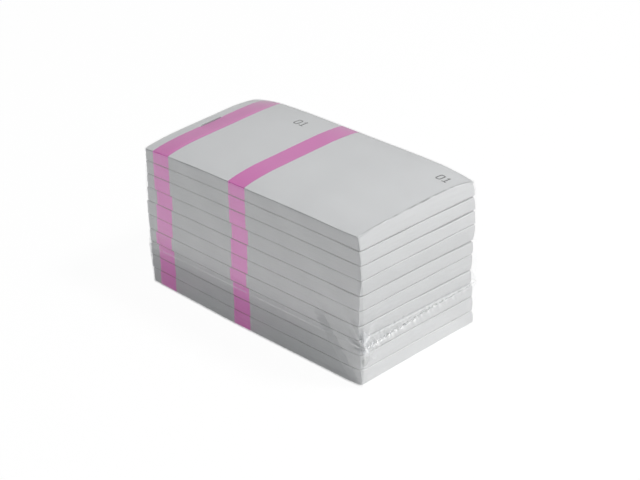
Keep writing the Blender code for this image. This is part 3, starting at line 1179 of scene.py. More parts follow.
@dataclass
class TicketBook:
    """One stapled book: a pad of leaves, drawn as layers that stand a little in and out."""

    book: int
    paper: Material
    painted_shade_name: str
    layers: int = 20
    layer_limits: Pair = (0.07, 0.93)
    thickness: float = 0.0074
    rim_steps: tuple[float, ...] = (0.0, 0.00006, 0.00016, 0.00032)
    # Painted shade near the edges of the faces, for the gaps between books
    rim_reach: float = 0.0013
    rim_fade: float = 0.0012
    rim_depth: float = 0.0004
    bare_end: float = 0.1
    edge_radius: float = 0.00026
    free_edge_radius: float = 0.00048
    bulge: float = 0.00022
    layer_scatter: float = 0.00003
    layer_lean: float = 0.00005
    layer_wave: float = 0.000012
    layer_wave_lengths: tuple[float, ...] = (0.047, 0.019)
    layer_seed: int = 700
    corner_pull: float = 0.00006
    leaf_gap: float = 0.00004
    front_gap: float = 0.00030
    front_gap_shares: Triple = (0.7, 0.3, 0.5)
    front_gap_reach: float = 0.075
    bound_gap_reach: float = 0.003
    free_gap_reach: float = 0.012
    least_gap: float = 0.8
    gap_twist: float = 0.35
    sway: float = 0.18
    sway_slant: float = 0.6
    sway_lengths: tuple[float, ...] = (0.061, 0.023)
    sway_seed: int = 40
    slot_depth: float = 0.0003
    slot_reach: float = 0.004
    slot_mean: float = 0.8
    slot_limits: Pair = (0.1, 1.4)
    slot_waves: Waves = Waves(23, (0.0091, 0.0173, 0.031), 0.4)
    # A painted shade line along the top book's free end, under the top leaf's edge, broken along its length
    leaf_edge_shade: Hump = Hump(0.004, 0.028, 1.5)
    leaf_edge_shade_mean: float = 0.9
    leaf_edge_shade_most: float = 1.6
    leaf_edge_shade_waves: Waves = Waves(23, (0.0051, 0.0093, 0.0171), 0.6)
    dent_depth: float = 0.00034
    dent_width: float = 0.0008
    dent_half_length: float = 0.0069
    dent_run_out: float = 0.0008
    column_step: float = 0.0032
    end_steps: tuple[float, ...] = (0.0008, 0.0012, 0.0022)
    staple_steps_mm: tuple[float, ...] = (-1.4, -0.9, -0.55, -0.28, 0.0, 0.28, 0.55, 0.9, 1.4)
    stub_step_mm: float = 0.06
    row_step: float = 0.0028
    side_steps: tuple[float, ...] = (0.0004, 0.0012)
    staple_rows_mm: tuple[float, ...] = (6.2, 6.9, 7.7)
    sharp_angle: float = 50.0

    @property
    def lie(self) -> BookLie:
        """How this book lies."""
        return LIES[self.book]

    @property
    def staple_place(self) -> float:
        """Place of the book's staple along the pack."""
        return FORM.stub_margin + self.lie.print_shift

    def dent(self, along: np.ndarray, across: np.ndarray) -> np.ndarray:
        """How far the staple presses the paper down at a point."""
        ends = 1.0 - rise(np.abs(across) - self.dent_half_length, self.dent_run_out)
        return self.dent_depth * bell(along - self.staple_place, self.dent_width) * ends

    def lid(self, along: np.ndarray, across: np.ndarray) -> np.ndarray:
        """Height of the book's upper face.

        Args:
            along: Places along the pack.
            across: Places across the pack.

        Returns:
            The height at each place.
        """
        if self.book == TOP_BOOK:
            leaf = FORM.leaf_top(along, across)
            past_stub = along > FORM.stub_line + self.lie.print_shift
            broken = np.clip(self.slot_mean + self.slot_waves.at(across), *self.slot_limits)
            slot = self.slot_depth * (1.0 - rise(self.lie.high_end - along, self.slot_reach)) * broken
            height = leaf - np.where(past_stub, FORM.leaf_thickness + self.leaf_gap, 0.0) - slot
        else:
            height = FORM.underside(self.book + 1, along, across) - self.gap(along, across)
        return height - self.dent(along, across)

    def gap(self, along: np.ndarray, across: np.ndarray) -> np.ndarray:
        """How far the book above keeps off.

        Args:
            along: Places along the pack.
            across: Places across the pack.

        Returns:
            The gap at each place.
        """
        near_free = bell(FORM.length - along, self.free_gap_reach)
        near_bound = bell(np.maximum(along, 0.0), self.bound_gap_reach)
        waves = Waves(self.sway_seed + self.book, self.sway_lengths, self.sway)
        sway = 1.0 + waves.at(along + self.sway_slant * across)
        least, further, bound = self.front_gap_shares
        opened = least + further * ramp(along, 0.0, self.front_gap_reach) + bound * near_bound
        front = self.front_gap * opened
        end = self.lie.gap * (1.0 + self.gap_twist * across / FORM.half_width)
        gap = np.maximum((1.0 - near_free) * front + near_free * end, self.least_gap * front)
        return gap * sway

    def base(self, along: np.ndarray, across: np.ndarray) -> np.ndarray:
        """Height of the book's lower face."""
        return FORM.underside(self.book, along, across)

    def shares(self) -> list[float]:
        """Shares of the thickness at which the rings lie, closer at the rounded edges."""
        near = [step / self.thickness for step in self.rim_steps]
        middle = np.linspace(*self.layer_limits, self.layers)
        return [1 - share for share in near] + list(middle[::-1]) + near[::-1]

    @staticmethod
    def inset(depth: float, radius: float) -> float:
        """How far a rounded edge stands in at a depth below it."""
        left = max(radius - depth, 0.0)
        return radius - math.sqrt(radius**2 - left**2)

    def rings(self, skin: BoxSkin) -> list[Ring]:
        """The rings down the book's sides.

        Args:
            skin: The skin they belong to.

        Returns:
            The rings from the upper face down.
        """
        draw = np.random.default_rng(self.layer_seed + self.book)
        along, across = skin.loop_places()
        lean = {side: draw.normal(0.0, 1.0) for side in Side}
        made = []
        for number, share in enumerate(self.shares()):
            depth = min(share, 1 - share) * self.thickness
            at_free = -self.inset(depth, self.free_edge_radius)
            out = np.where(skin.on(Side.FREE), at_free, -self.inset(depth, self.edge_radius))
            if 0.0 < share < 1.0:
                for order, side in enumerate(Side):
                    line = across if side in (Side.FREE, Side.BOUND) else along
                    seed = 1000 * self.book + 10 * number + order
                    layer = draw.normal(0.0, self.layer_scatter)
                    layer += self.layer_lean * lean[side] * (share - 0.5)
                    wave = Waves(seed, self.layer_wave_lengths, self.layer_wave).at(line)
                    out = np.where(skin.on(side), out + layer + wave, out)
            free = self.lie.low_end + (self.lie.high_end - self.lie.low_end) * share
            free += self.bulge * (1 - (2 * share - 1) ** 2) - self.bulge
            made.append(
                Ring(
                    bound=self.lie.bound_end,
                    free=free,
                    front=-FORM.half_width,
                    back=FORM.half_width,
                    height=between(self.base, self.lid, share),
                    outward=out,
                    corner_pull=self.corner_pull,
                )
            )
        return made

    def rim(self, skin: BoxSkin, count: int) -> np.ndarray:
        """Painted shade round the edges of both faces, for the gaps where the books meet and under the top
        leaf's free edge.

        Args:
            skin: The pad's skin.
            count: How many points the mesh has.

        Returns:
            The strength at each point of the mesh.
        """
        along, across = np.meshgrid(skin.columns, skin.rows, indexing="ij")
        from_ends = np.minimum(along - skin.columns[0], skin.columns[-1] - along)
        inset = np.minimum(from_ends, FORM.half_width - np.abs(across))
        face = ramp(inset, self.rim_reach + self.rim_fade, self.rim_reach).ravel()
        # Painted shade from the gap below this book and from the gap above it
        below = LIES[max(self.book - 1, 0)].seam
        above = np.full(len(skin.loop), self.lie.seam)
        # The top book takes painted shade only along its free end, under the top leaf's edge
        if self.book == TOP_BOOK:
            line = skin.loop_places()[1]
            broken = np.clip(self.leaf_edge_shade_mean + self.leaf_edge_shade_waves.at(line), 0.0, self.leaf_edge_shade_most)
            above = np.where(skin.on(Side.FREE), broken * self.leaf_edge_shade.at(line), 0.0)
        values = [face * self.lie.seam]
        if self.book == TOP_BOOK:
            values = [np.where(along.ravel() > self.bare_end, face, 0.0)]
        for share in self.shares()[1:]:
            depth = min(share, 1 - share) * self.thickness
            strength = max(0.0, 1.0 - depth / self.rim_depth) * np.ones(len(skin.loop))
            values.append(strength * (above if share > 0.5 else below))
        inner = np.ones(along.shape, dtype=bool)
        inner[skin.loop[:, 0], skin.loop[:, 1]] = False
        values.append(face[inner.ravel()] * below)
        found = np.concatenate(values).astype(np.float32)
        assert len(found) == count
        return found

    def build(self) -> Object:
        """Build the pad and put it on its book's body.

        Returns:
            The pad.
        """
        number = f"{self.book + 1:02d}"
        staple = self.staple_place
        near_staple = [staple + step * MM for step in self.staple_steps_mm]
        if self.book == TOP_BOOK:
            stub = FORM.stub_line + self.lie.print_shift
            near_staple += [stub - self.stub_step_mm * MM, stub + self.stub_step_mm * MM]
        end = min(self.lie.low_end, self.lie.high_end)
        columns = spaced(self.lie.bound_end, end, self.column_step, near_staple, self.end_steps)
        marks = [sign * place * MM for sign in (-1, 1) for place in self.staple_rows_mm]
        rows = spaced(-FORM.half_width, FORM.half_width, self.row_step, marks, self.side_steps)
        skin = BoxSkin(columns, rows)
        mesh = skin.mesh(f"book_{number}_leaves", self.rings(skin), self.lid, self.base)
        # Painted shade in the gaps, carried to the paper's material as a point attribute
        strengths = self.rim(skin, len(mesh.vertices))
        mesh.attributes.new(self.painted_shade_name, "FLOAT", "POINT").data.foreach_set("value", strengths)
        smooth(mesh, self.sharp_angle)
        origin = (self.lie.print_shift, 0.0, 0.0)
        return place_piece(mesh, self.paper, f"book_{number}", Slot.PAPER, origin, [f"ticket_pad_{number}"])


@dataclass
class TopLeaf:
    """The top book's first leaf: a counterfoil and a ticket that part at a row of slits."""

    paper: Material
    slit_length: float = 0.0005
    slit_depth: float = 0.00013
    ticket_setback: float = 0.00055
    clearance: float = 0.00001
    column_step: float = 0.0026
    end_steps: tuple[float, ...] = (0.0003, 0.001)
    row_step: float = 0.00035
    slant: float = 0.7
    waves: Waves = Waves(31, (0.052, 0.029), 0.000012)

    def lid(self, along: np.ndarray, across: np.ndarray) -> np.ndarray:
        """Height of the leaf's upper face, which lies a little uneven."""
        return FORM.leaf_top(along, across) + self.waves.at(along + self.slant * across)

    def base(self, along: np.ndarray, across: np.ndarray) -> np.ndarray:
        """Height of the leaf's lower face."""
        return self.lid(along, across) - FORM.leaf_thickness

    def notches(self, skin: BoxSkin, sides: Sequence[Side]) -> np.ndarray:
        """How far each point of the outline stands back, where slits run along its ends.

        Args:
            skin: The leaf's skin.
            sides: The ends with slits.

        Returns:
            Distances outward, below 0 in a slit.
        """
        across = skin.loop_places()[1]
        in_slit = pleat(across, FORM.slit_pitch) < self.slit_length / 2
        slit_end = np.zeros(len(across), dtype=bool)
        for side in sides:
            slit_end |= skin.on(side)
        return np.where(slit_end & in_slit, -self.slit_depth, 0.0)

    def stretch(self, name: str, start: float, end: float, slit_sides: Sequence[Side]) -> Object:
        """Build one stretch of the leaf.

        Args:
            name: The CAD body and node that the piece stands for.
            start: Its place nearest the bound end.
            end: Its place nearest the free end.
            slit_sides: The ends that part at slits.

        Returns:
            The piece.
        """
        columns = spaced(start, end, self.column_step, (), self.end_steps)
        count = round(FORM.width / self.row_step)
        rows = np.linspace(-FORM.half_width, FORM.half_width, count + 1)
        skin = BoxSkin(columns, rows)
        notches = self.notches(skin, slit_sides)
        rings = []
        for height in (self.lid, self.base):
            rings.append(Ring(start, end, -FORM.half_width, FORM.half_width, height, notches))
        mesh = skin.mesh(f"{name}_leaf", rings, self.lid, self.base)
        smooth(mesh)
        origin = (LIES[TOP_BOOK].print_shift, 0.0, 0.0)
        return place_piece(mesh, self.paper, name, Slot.PAPER, origin, [name])

    def build(self) -> None:
        """Build the counterfoil and the ticket."""
        lie = LIES[TOP_BOOK]
        stub = FORM.stub_line + lie.print_shift
        tear = FORM.tear_line + lie.print_shift
        near = tear - self.clearance
        self.stretch("top_counterfoil", stub + self.clearance, near, (Side.BOUND, Side.FREE))
        far = lie.high_end - self.ticket_setback
        self.stretch("top_ticket", tear + self.clearance, far, (Side.BOUND,))


@dataclass
class TicketNumber:
    """A printed 01, drawn as thin flat figures that follow the paper under them."""

    ink: Material
    on_counterfoil: Pair = (0.0408, 0.0247)
    on_ticket: Pair = (0.1300, 0.0265)
    height: float = 0.0051
    stroke: float = 0.00062
    zero_width: float = 0.0030
    one_width: float = 0.0025
    spacing: float = 0.0011
    lift: float = 0.00003
    thickness: float = 0.00002
    corner_steps: int = 5
    corner_share: float = 0.36
    stem_place: float = 0.52
    foot_strokes: float = 0.9
    flag_place: float = 0.1
    flag_height: float = 0.80
    flag_strokes: Pair = (1.15, 1.3)

    def rounded(self, inset: float) -> list[Pair]:
        """Outline of the nought, moved inward.

        Args:
            inset: Distance from the outer outline.

        Returns:
            Its points, the same count for every inset.
        """
        radius = self.zero_width * self.corner_share - inset
        points = []
        centres = ((1, 1, 0.0), (0, 1, 0.5), (0, 0, 1.0), (1, 0, 1.5))
        for right, top, turn in centres:
            middle_x = self.zero_width - inset - radius if right else inset + radius
            middle_y = self.height - inset - radius if top else inset + radius
            for step in range(self.corner_steps + 1):
                angle = math.pi * (turn + 0.5 * step / self.corner_steps)
                points.append((middle_x + radius * math.cos(angle), middle_y + radius * math.sin(angle)))
        return points

    def one_outline(self) -> list[Pair]:
        """Outline of the one: a stem with a flag and a slab foot.

        Returns:
            Its points, starting at the foot.
        """
        left = self.zero_width + self.spacing
        middle = left + self.one_width * self.stem_place
        half = self.stroke / 2
        foot = self.stroke * self.foot_strokes
        top = self.height
        flag = left + self.one_width * self.flag_place
        flag_top = top * self.flag_height
        return [
            (left, 0.0),
            (left + self.one_width, 0.0),
            (left + self.one_width, foot),
            (middle + half, foot),
            (middle + half, top),
            (middle - half, top),
            (flag, flag_top),
            (flag, flag_top - self.stroke * self.flag_strokes[0]),
            (middle - half, top - self.stroke * self.flag_strokes[1]),
            (middle - half, foot),
            (left, foot),
        ]

    def flat_faces(self, body: bmesh.types.BMesh) -> None:
        """Draw both figures flat, starting at the origin.

        Args:
            body: The bmesh to draw them in.
        """
        outer = [body.verts.new((x, y, 0.0)) for x, y in self.rounded(0.0)]
        inner = [body.verts.new((x, y, 0.0)) for x, y in self.rounded(self.stroke)]
        count = len(outer)
        for number in range(count):
            after = (number + 1) % count
            body.faces.new((outer[number], outer[after], inner[after], inner[number]))
        body.faces.new([body.verts.new((x, y, 0.0)) for x, y in self.one_outline()])

    def mesh(self, name: str, centres: Sequence[Pair], paper: HeightRule) -> Mesh:
        """Draw the number at some places on a sheet.

        Args:
            name: The mesh's name.
            centres: Middle of each number, in pack coordinates.
            paper: Height of the sheet.

        Returns:
            The mesh.
        """
        body = bmesh.new()
        wide = self.zero_width + self.spacing + self.one_width
        for along, across in centres:
            figure = bmesh.new()
            self.flat_faces(figure)
            figure.normal_update()
            bmesh.ops.triangulate(figure, faces=figure.faces[:])
            shift = Vector((along - wide / 2, across - self.height / 2, 0.0))
            bmesh.ops.translate(figure, verts=figure.verts[:], vec=shift)
            part = bpy.data.meshes.new("figure")
            figure.to_mesh(part)
            figure.free()
            body.from_mesh(part)
            bpy.data.meshes.remove(part)
        lower = list(body.verts)
        raised = bmesh.ops.extrude_face_region(body, geom=body.faces[:], use_keep_orig=True)
        upper = [item for item in raised["geom"] if isinstance(item, bmesh.types.BMVert)]
        for group, lift in ((lower, self.lift), (upper, self.lift + self.thickness)):
            for vert in group:
                vert.co.z = float(paper(np.array(vert.co.x), np.array(vert.co.y))) + lift
        return closed_mesh(name, body)

    def build(self, books: Sequence[TicketBook], leaf: TopLeaf) -> None:
        """Print the numbers on the top leaf and on every book under it.

        Args:
            books: All the books.
            leaf: The top book's first leaf.
        """
        places = (self.on_counterfoil, self.on_ticket)
        for title, place in zip(("counterfoil", "ticket"), places):
            mesh = self.mesh(f"{title}_number", [place], leaf.lid)
            place_piece(mesh, self.ink, f"top_{title}", Slot.PAPER)
        for book in books:
            shift = book.lie.print_shift - LIES[TOP_BOOK].print_shift
            centres = [(along + shift, across) for along, across in places]
            number = f"{book.book + 1:02d}"
            mesh = self.mesh(f"book_{number}_numbers", centres, book.lid)
            place_piece(mesh, self.ink, f"book_{number}", Slot.PAPER)


@dataclass
class Staple:
    """One wire staple, its crown pressed into the paper and its legs clinched under the book."""

    book: TicketBook
    steel: Material
    crown: float = 0.013
    clinch: float = 0.0042
    radius: float = 0.0003
    bend: float = 0.0008
    bend_steps: int = 6
    proud: float = 0.00022
    sides: int = 12

    def path(self) -> list[Vector]:
        """Points of the wire's middle line, from one clinched end over the crown to the other.

        Returns:
            The points, in pack coordinates.
        """
        along = self.book.staple_place
        here = (np.array(along), np.array(0.0))
        face = float(self.book.lid(*here)) + self.book.dent_depth
        top = face + self.proud - self.radius
        foot = float(self.book.base(*here)) + self.radius
        leg = self.crown / 2
        tip = leg - self.clinch
        corners = [(-tip, foot), (-leg, foot), (-leg, top), (leg, top), (leg, foot), (tip, foot)]
        spots = [Vector((along, across, height)) for across, height in corners]
        points = [spots[0]]
        for before, corner, after in zip(spots, spots[1:], spots[2:]):
            arriving = (corner - before).normalized()
            leaving = (after - corner).normalized()
            centre = corner + (leaving - arriving) * self.bend
            for step in range(self.bend_steps + 1):
                angle = math.pi / 2 * step / self.bend_steps
                turn = arriving * math.sin(angle) - leaving * math.cos(angle)
                points.append(centre + turn * self.bend)
        points.append(spots[-1])
        return points

    def build(self) -> Object:
        """Sweep the wire and put it on its book's body.

        Returns:
            The staple.
        """
        points = self.path()
        number = f"{self.book.book + 1:02d}"
        along_pack = Vector((1.0, 0.0, 0.0))
        radii = [self.radius] * len(points)
        mesh = wire_mesh(f"staple_wire_{number}", points, along_pack, radii, self.sides)
        smooth(mesh)
        return place_piece(mesh, self.steel, f"book_{number}", Slot.WIRE, stands_for=[f"staple_{number}"])


class WallPoints:
    """The points of one ring of the film's walls, and where they lie from the seal and the edges."""

    def __init__(self, skin: BoxSkin, height: HeightRule) -> None:
        """Take one ring.

        Args:
            skin: The film's skin.
            height: The ring's height.
        """
        self.along, self.across = skin.loop_places()
        self.heights = height(self.along, self.across) + np.zeros(len(self.along))
        self.up = self.heights - FORM.seal(self.across)
        self.from_front = self.across + FORM.film_side
        self.from_free = FORM.rim_span[1] - self.along
        self.front = skin.on(Side.FRONT)
        self.free = skin.on(Side.FREE)
        self.line = np.where(skin.on(Side.BACK), self.along, self.across)


@dataclass(frozen=True)
class FilmMarks:
    """Where the film's walls are folded, puckered, creased, broken into facets, milky and darkened by
    painted shade.
    """

    fold: float = 0.00015
    fold_counts: Pair = (7.0, 13.0)
    fold_turn: float = 2.1
    fine_fold: float = 0.6
    fold_start: float = 0.003
    fold_reach: float = 0.013
    fold_milk: float = 0.17
    far_fold: float = 0.3
    pucker: float = 0.00028
    pucker_reach: float = 0.0028
    pucker_slant: float = 0.5
    pucker_waves: Waves = Waves(57, (0.0024, 0.0041, 0.0083), 0.5)
    pucker_least: float = 0.3
    pucker_middle: Hump = Hump(0.0, 0.026, 0.6)
    pucker_near: Hump = Hump(-0.030, 0.014, 1.2)
    crease_width: float = 0.0004
    crease_lines: tuple[tuple[float, ...], ...] = (
        (0.1173, 0.0284, 0.1336, 0.0071, 0.44),
        (0.1106, 0.0284, 0.1269, 0.0071, -0.20),
    )
    crease_foot: Climb = Climb(0.0025, 0.0055)
    crease_head: Climb = Climb(0.036, 0.026)
    broad_facets: tuple[Pleats, ...] = (Pleats(0.8, 0.6, 0.0047), Pleats(0.35, -0.94, 0.0061))
    broad_depth: float = 0.035
    broad_side: Hump = Hump(0.0, 0.007)
    broad_height: Hump = Hump(0.0215, 0.009)
    fine_facets: tuple[Pleats, ...] = (Pleats(0.95, 0.5, 0.0027), Pleats(0.9, -0.7, 0.0039))
    fine_depth: float = 0.13
    fine_height: Hump = Hump(0.0, 0.0016)
    fine_least: float = 0.3
    fine_middle: Hump = Hump(-0.020, 0.022, 0.7)
    patch_side: Climb = Climb(0.0042, 0.0034)
    patch_foot: Climb = Climb(0.0178, 0.0184)
    patch_foot_slant: float = 0.2
    patch_head: Climb = Climb(0.0314, 0.0302)
    patch_head_slant: float = 1.1
    patch_mean: float = 0.75
    patch_slant: float = 0.4
    patch_waves: Waves = Waves(12, (0.0047, 0.0083), 0.2)
    # Painted shade: a dark spot for a sunk fold under the milky patch
    fold_shade_place: Pair = (0.0012, 0.0138)
    fold_shade_spot: Hump = Hump(0.0, 0.0021, 2.0)
    streak_side: Hump = Hump(0.0062, 0.0007, 1.2)
    streak_height: Hump = Hump(0.0210, 0.0016)
    fleck_slant: float = 0.3
    fleck_waves: Waves = Waves(15, (0.0023, 0.0037, 0.0061), 0.5)
    # Flecks along the seal: milky above 0, painted shade below 0
    milky_fleck: float = 0.45
    fleck_shade: float = 1.4
    fleck_width: float = 0.0009
    fleck_spread: Hump = Hump(0.008, 0.012, 0.0012)
    fleck_least: float = 0.35
    fleck_middle: Hump = Hump(-0.012, 0.030, 0.65)
    second_row: Hump = Hump(0.0042, 0.0006, 0.5)
    second_waves: Waves = Waves(29, (0.0031, 0.0053), 0.6)
    second_middle: Hump = Hump(-0.018, 0.012)
    bulge_side: Climb = Climb(0.0016, 0.0010)
    bulge_height: Hump = Hump(0.0245, 0.006, 0.8)

    def corner_folds(self, wall: WallPoints) -> tuple[np.ndarray, np.ndarray]:
        """Folds that run out from the corners of the pack at the seal, where spare film gathers.

        Args:
            wall: The points.

        Returns:
            How far each point is pushed out, and how strongly the film is gathered there.
        """
        push = np.zeros(len(wall.along))
        gather = np.zeros(len(wall.along))
        for order, (end, side) in enumerate(((1, -1), (1, 1), (0, 1), (0, -1))):
            corner = side * FORM.film_side
            from_corner = np.hypot(wall.along - FORM.rim_span[end], wall.across - corner)
            up = wall.heights - FORM.seal(np.array(corner))
            distance = np.hypot(from_corner, up)
            angle = np.arctan2(up, from_corner + 1e-6)
            few, many = self.fold_counts
            folds = np.sin(angle * few + order)
            folds = folds + self.fine_fold * np.sin(angle * many + self.fold_turn * order)
            fade = rise(distance, self.fold_start) * bell(distance, self.fold_reach)
            strength = 1.0 if order == 0 else self.far_fold
            push += self.fold * folds * fade * strength
            gather += fade * (self.fold_milk + self.fold_milk * folds) * strength
        return push, np.clip(gather, 0.0, 1.0)

    def puckers(self, wall: WallPoints) -> np.ndarray:
        """Small puckers along the seal, on both ends and the back.

        Args:
            wall: The points.

        Returns:
            How far each point is pushed out.
        """
        waves = self.pucker_waves.at(wall.line + self.pucker_slant * wall.up)
        fade = bell(wall.up, self.pucker_reach)
        strength = self.pucker_least + self.pucker_middle.at(wall.across) + self.pucker_near.at(wall.across)
        return np.where(wall.front, 0.0, self.pucker * waves * fade * strength)

    def creases(self, wall: WallPoints) -> np.ndarray:
        """How far the film leans back in the planes beside the slanting creases low on the front.

        Args:
            wall: The points.

        Returns:
            The lean at each point, as a step up of the film's normal.
        """
        lean = np.zeros(len(wall.along))
        for x1, z1, x2, z2, tilt in self.crease_lines:
            run = np.array((x2 - x1, z2 - z1))
            run = run / np.hypot(*run)
            beside = (wall.along - x1) * -run[1] + (wall.heights - z1) * run[0]
            lean += tilt * ramp(beside, -self.crease_width / 2, self.crease_width / 2)
        fade = self.crease_foot.at(wall.heights) * self.crease_head.at(wall.heights)
        return np.where(wall.front, lean * fade, 0.0)

    def facets(self, wall: WallPoints) -> np.ndarray:
        """Broad facets by the pack's near upright edge, and fine ones along the seal.

        Args:
            wall: The points.

        Returns:
            Relief at each point.
        """
        from_edge = np.where(wall.free, wall.from_front, wall.from_free)
        by_edge = self.broad_side.at(from_edge) * self.broad_height.at(wall.heights)
        by_seal = self.fine_height.at(wall.up) * (self.fine_least + self.fine_middle.at(wall.across))
        broad = sum(pleats.at(wall.line, wall.heights) for pleats in self.broad_facets)
        fine = sum(pleats.at(wall.line, wall.up) for pleats in self.fine_facets)
        near = self.broad_depth * broad * np.where(wall.free | wall.front, by_edge, 0.0)
        return near + self.fine_depth * fine * np.where(wall.front, 0.0, by_seal)

    def milky_edge(self, wall: WallPoints) -> np.ndarray:
        """How milky the film is by the seal and up the pack's near upright edge, and where painted shade
        darkens it.

        Args:
            wall: The points.

        Returns:
            The strength at each point, below 0 where the film is sunk and dark.
        """
        heights = wall.heights
        aside = wall.from_front
        # A milky patch by the near upright edge, with painted shade for a sunk fold under it and a streak
        # beside it
        patch = self.patch_side.at(aside)
        patch = patch * self.patch_foot.at(heights + self.patch_foot_slant * aside)
        patch = patch * self.patch_head.at(heights + self.patch_head_slant * aside)
        patch = patch * (self.patch_mean + self.patch_waves.at(heights + self.patch_slant * aside))
        dark = self.fold_shade_spot.at(np.hypot(aside - self.fold_shade_place[0], heights - self.fold_shade_place[1]))
        streak = self.streak_side.at(aside) * self.streak_height.at(heights)
        # Flecks along the seal, more painted shade than milky, and a second row above them with both
        broken = self.fleck_waves.at(wall.across + self.fleck_slant * wall.up)
        broken = broken * np.where(broken > 0.0, self.milky_fleck, self.fleck_shade)
        wide = self.fleck_width + self.fleck_spread.at(aside)
        seal = bell(wall.up, wide) * broken * (self.fleck_least + self.fleck_middle.at(wall.across))
        flecks = np.clip(self.second_waves.at(wall.across), -1.0, 1.0)
        second = self.second_row.at(wall.up) * flecks * self.second_middle.at(wall.across)
        at_end = np.where(wall.free, patch + streak - dark + second, 0.0)
        # The patch's own edge, where it bulges round the corner to the front
        bulge = self.bulge_side.at(wall.from_free) * self.bulge_height.at(heights)
        at_front = np.where(wall.front & ~wall.free, bulge, 0.0)
        return at_end + at_front + np.where(wall.front, 0.0, seal)


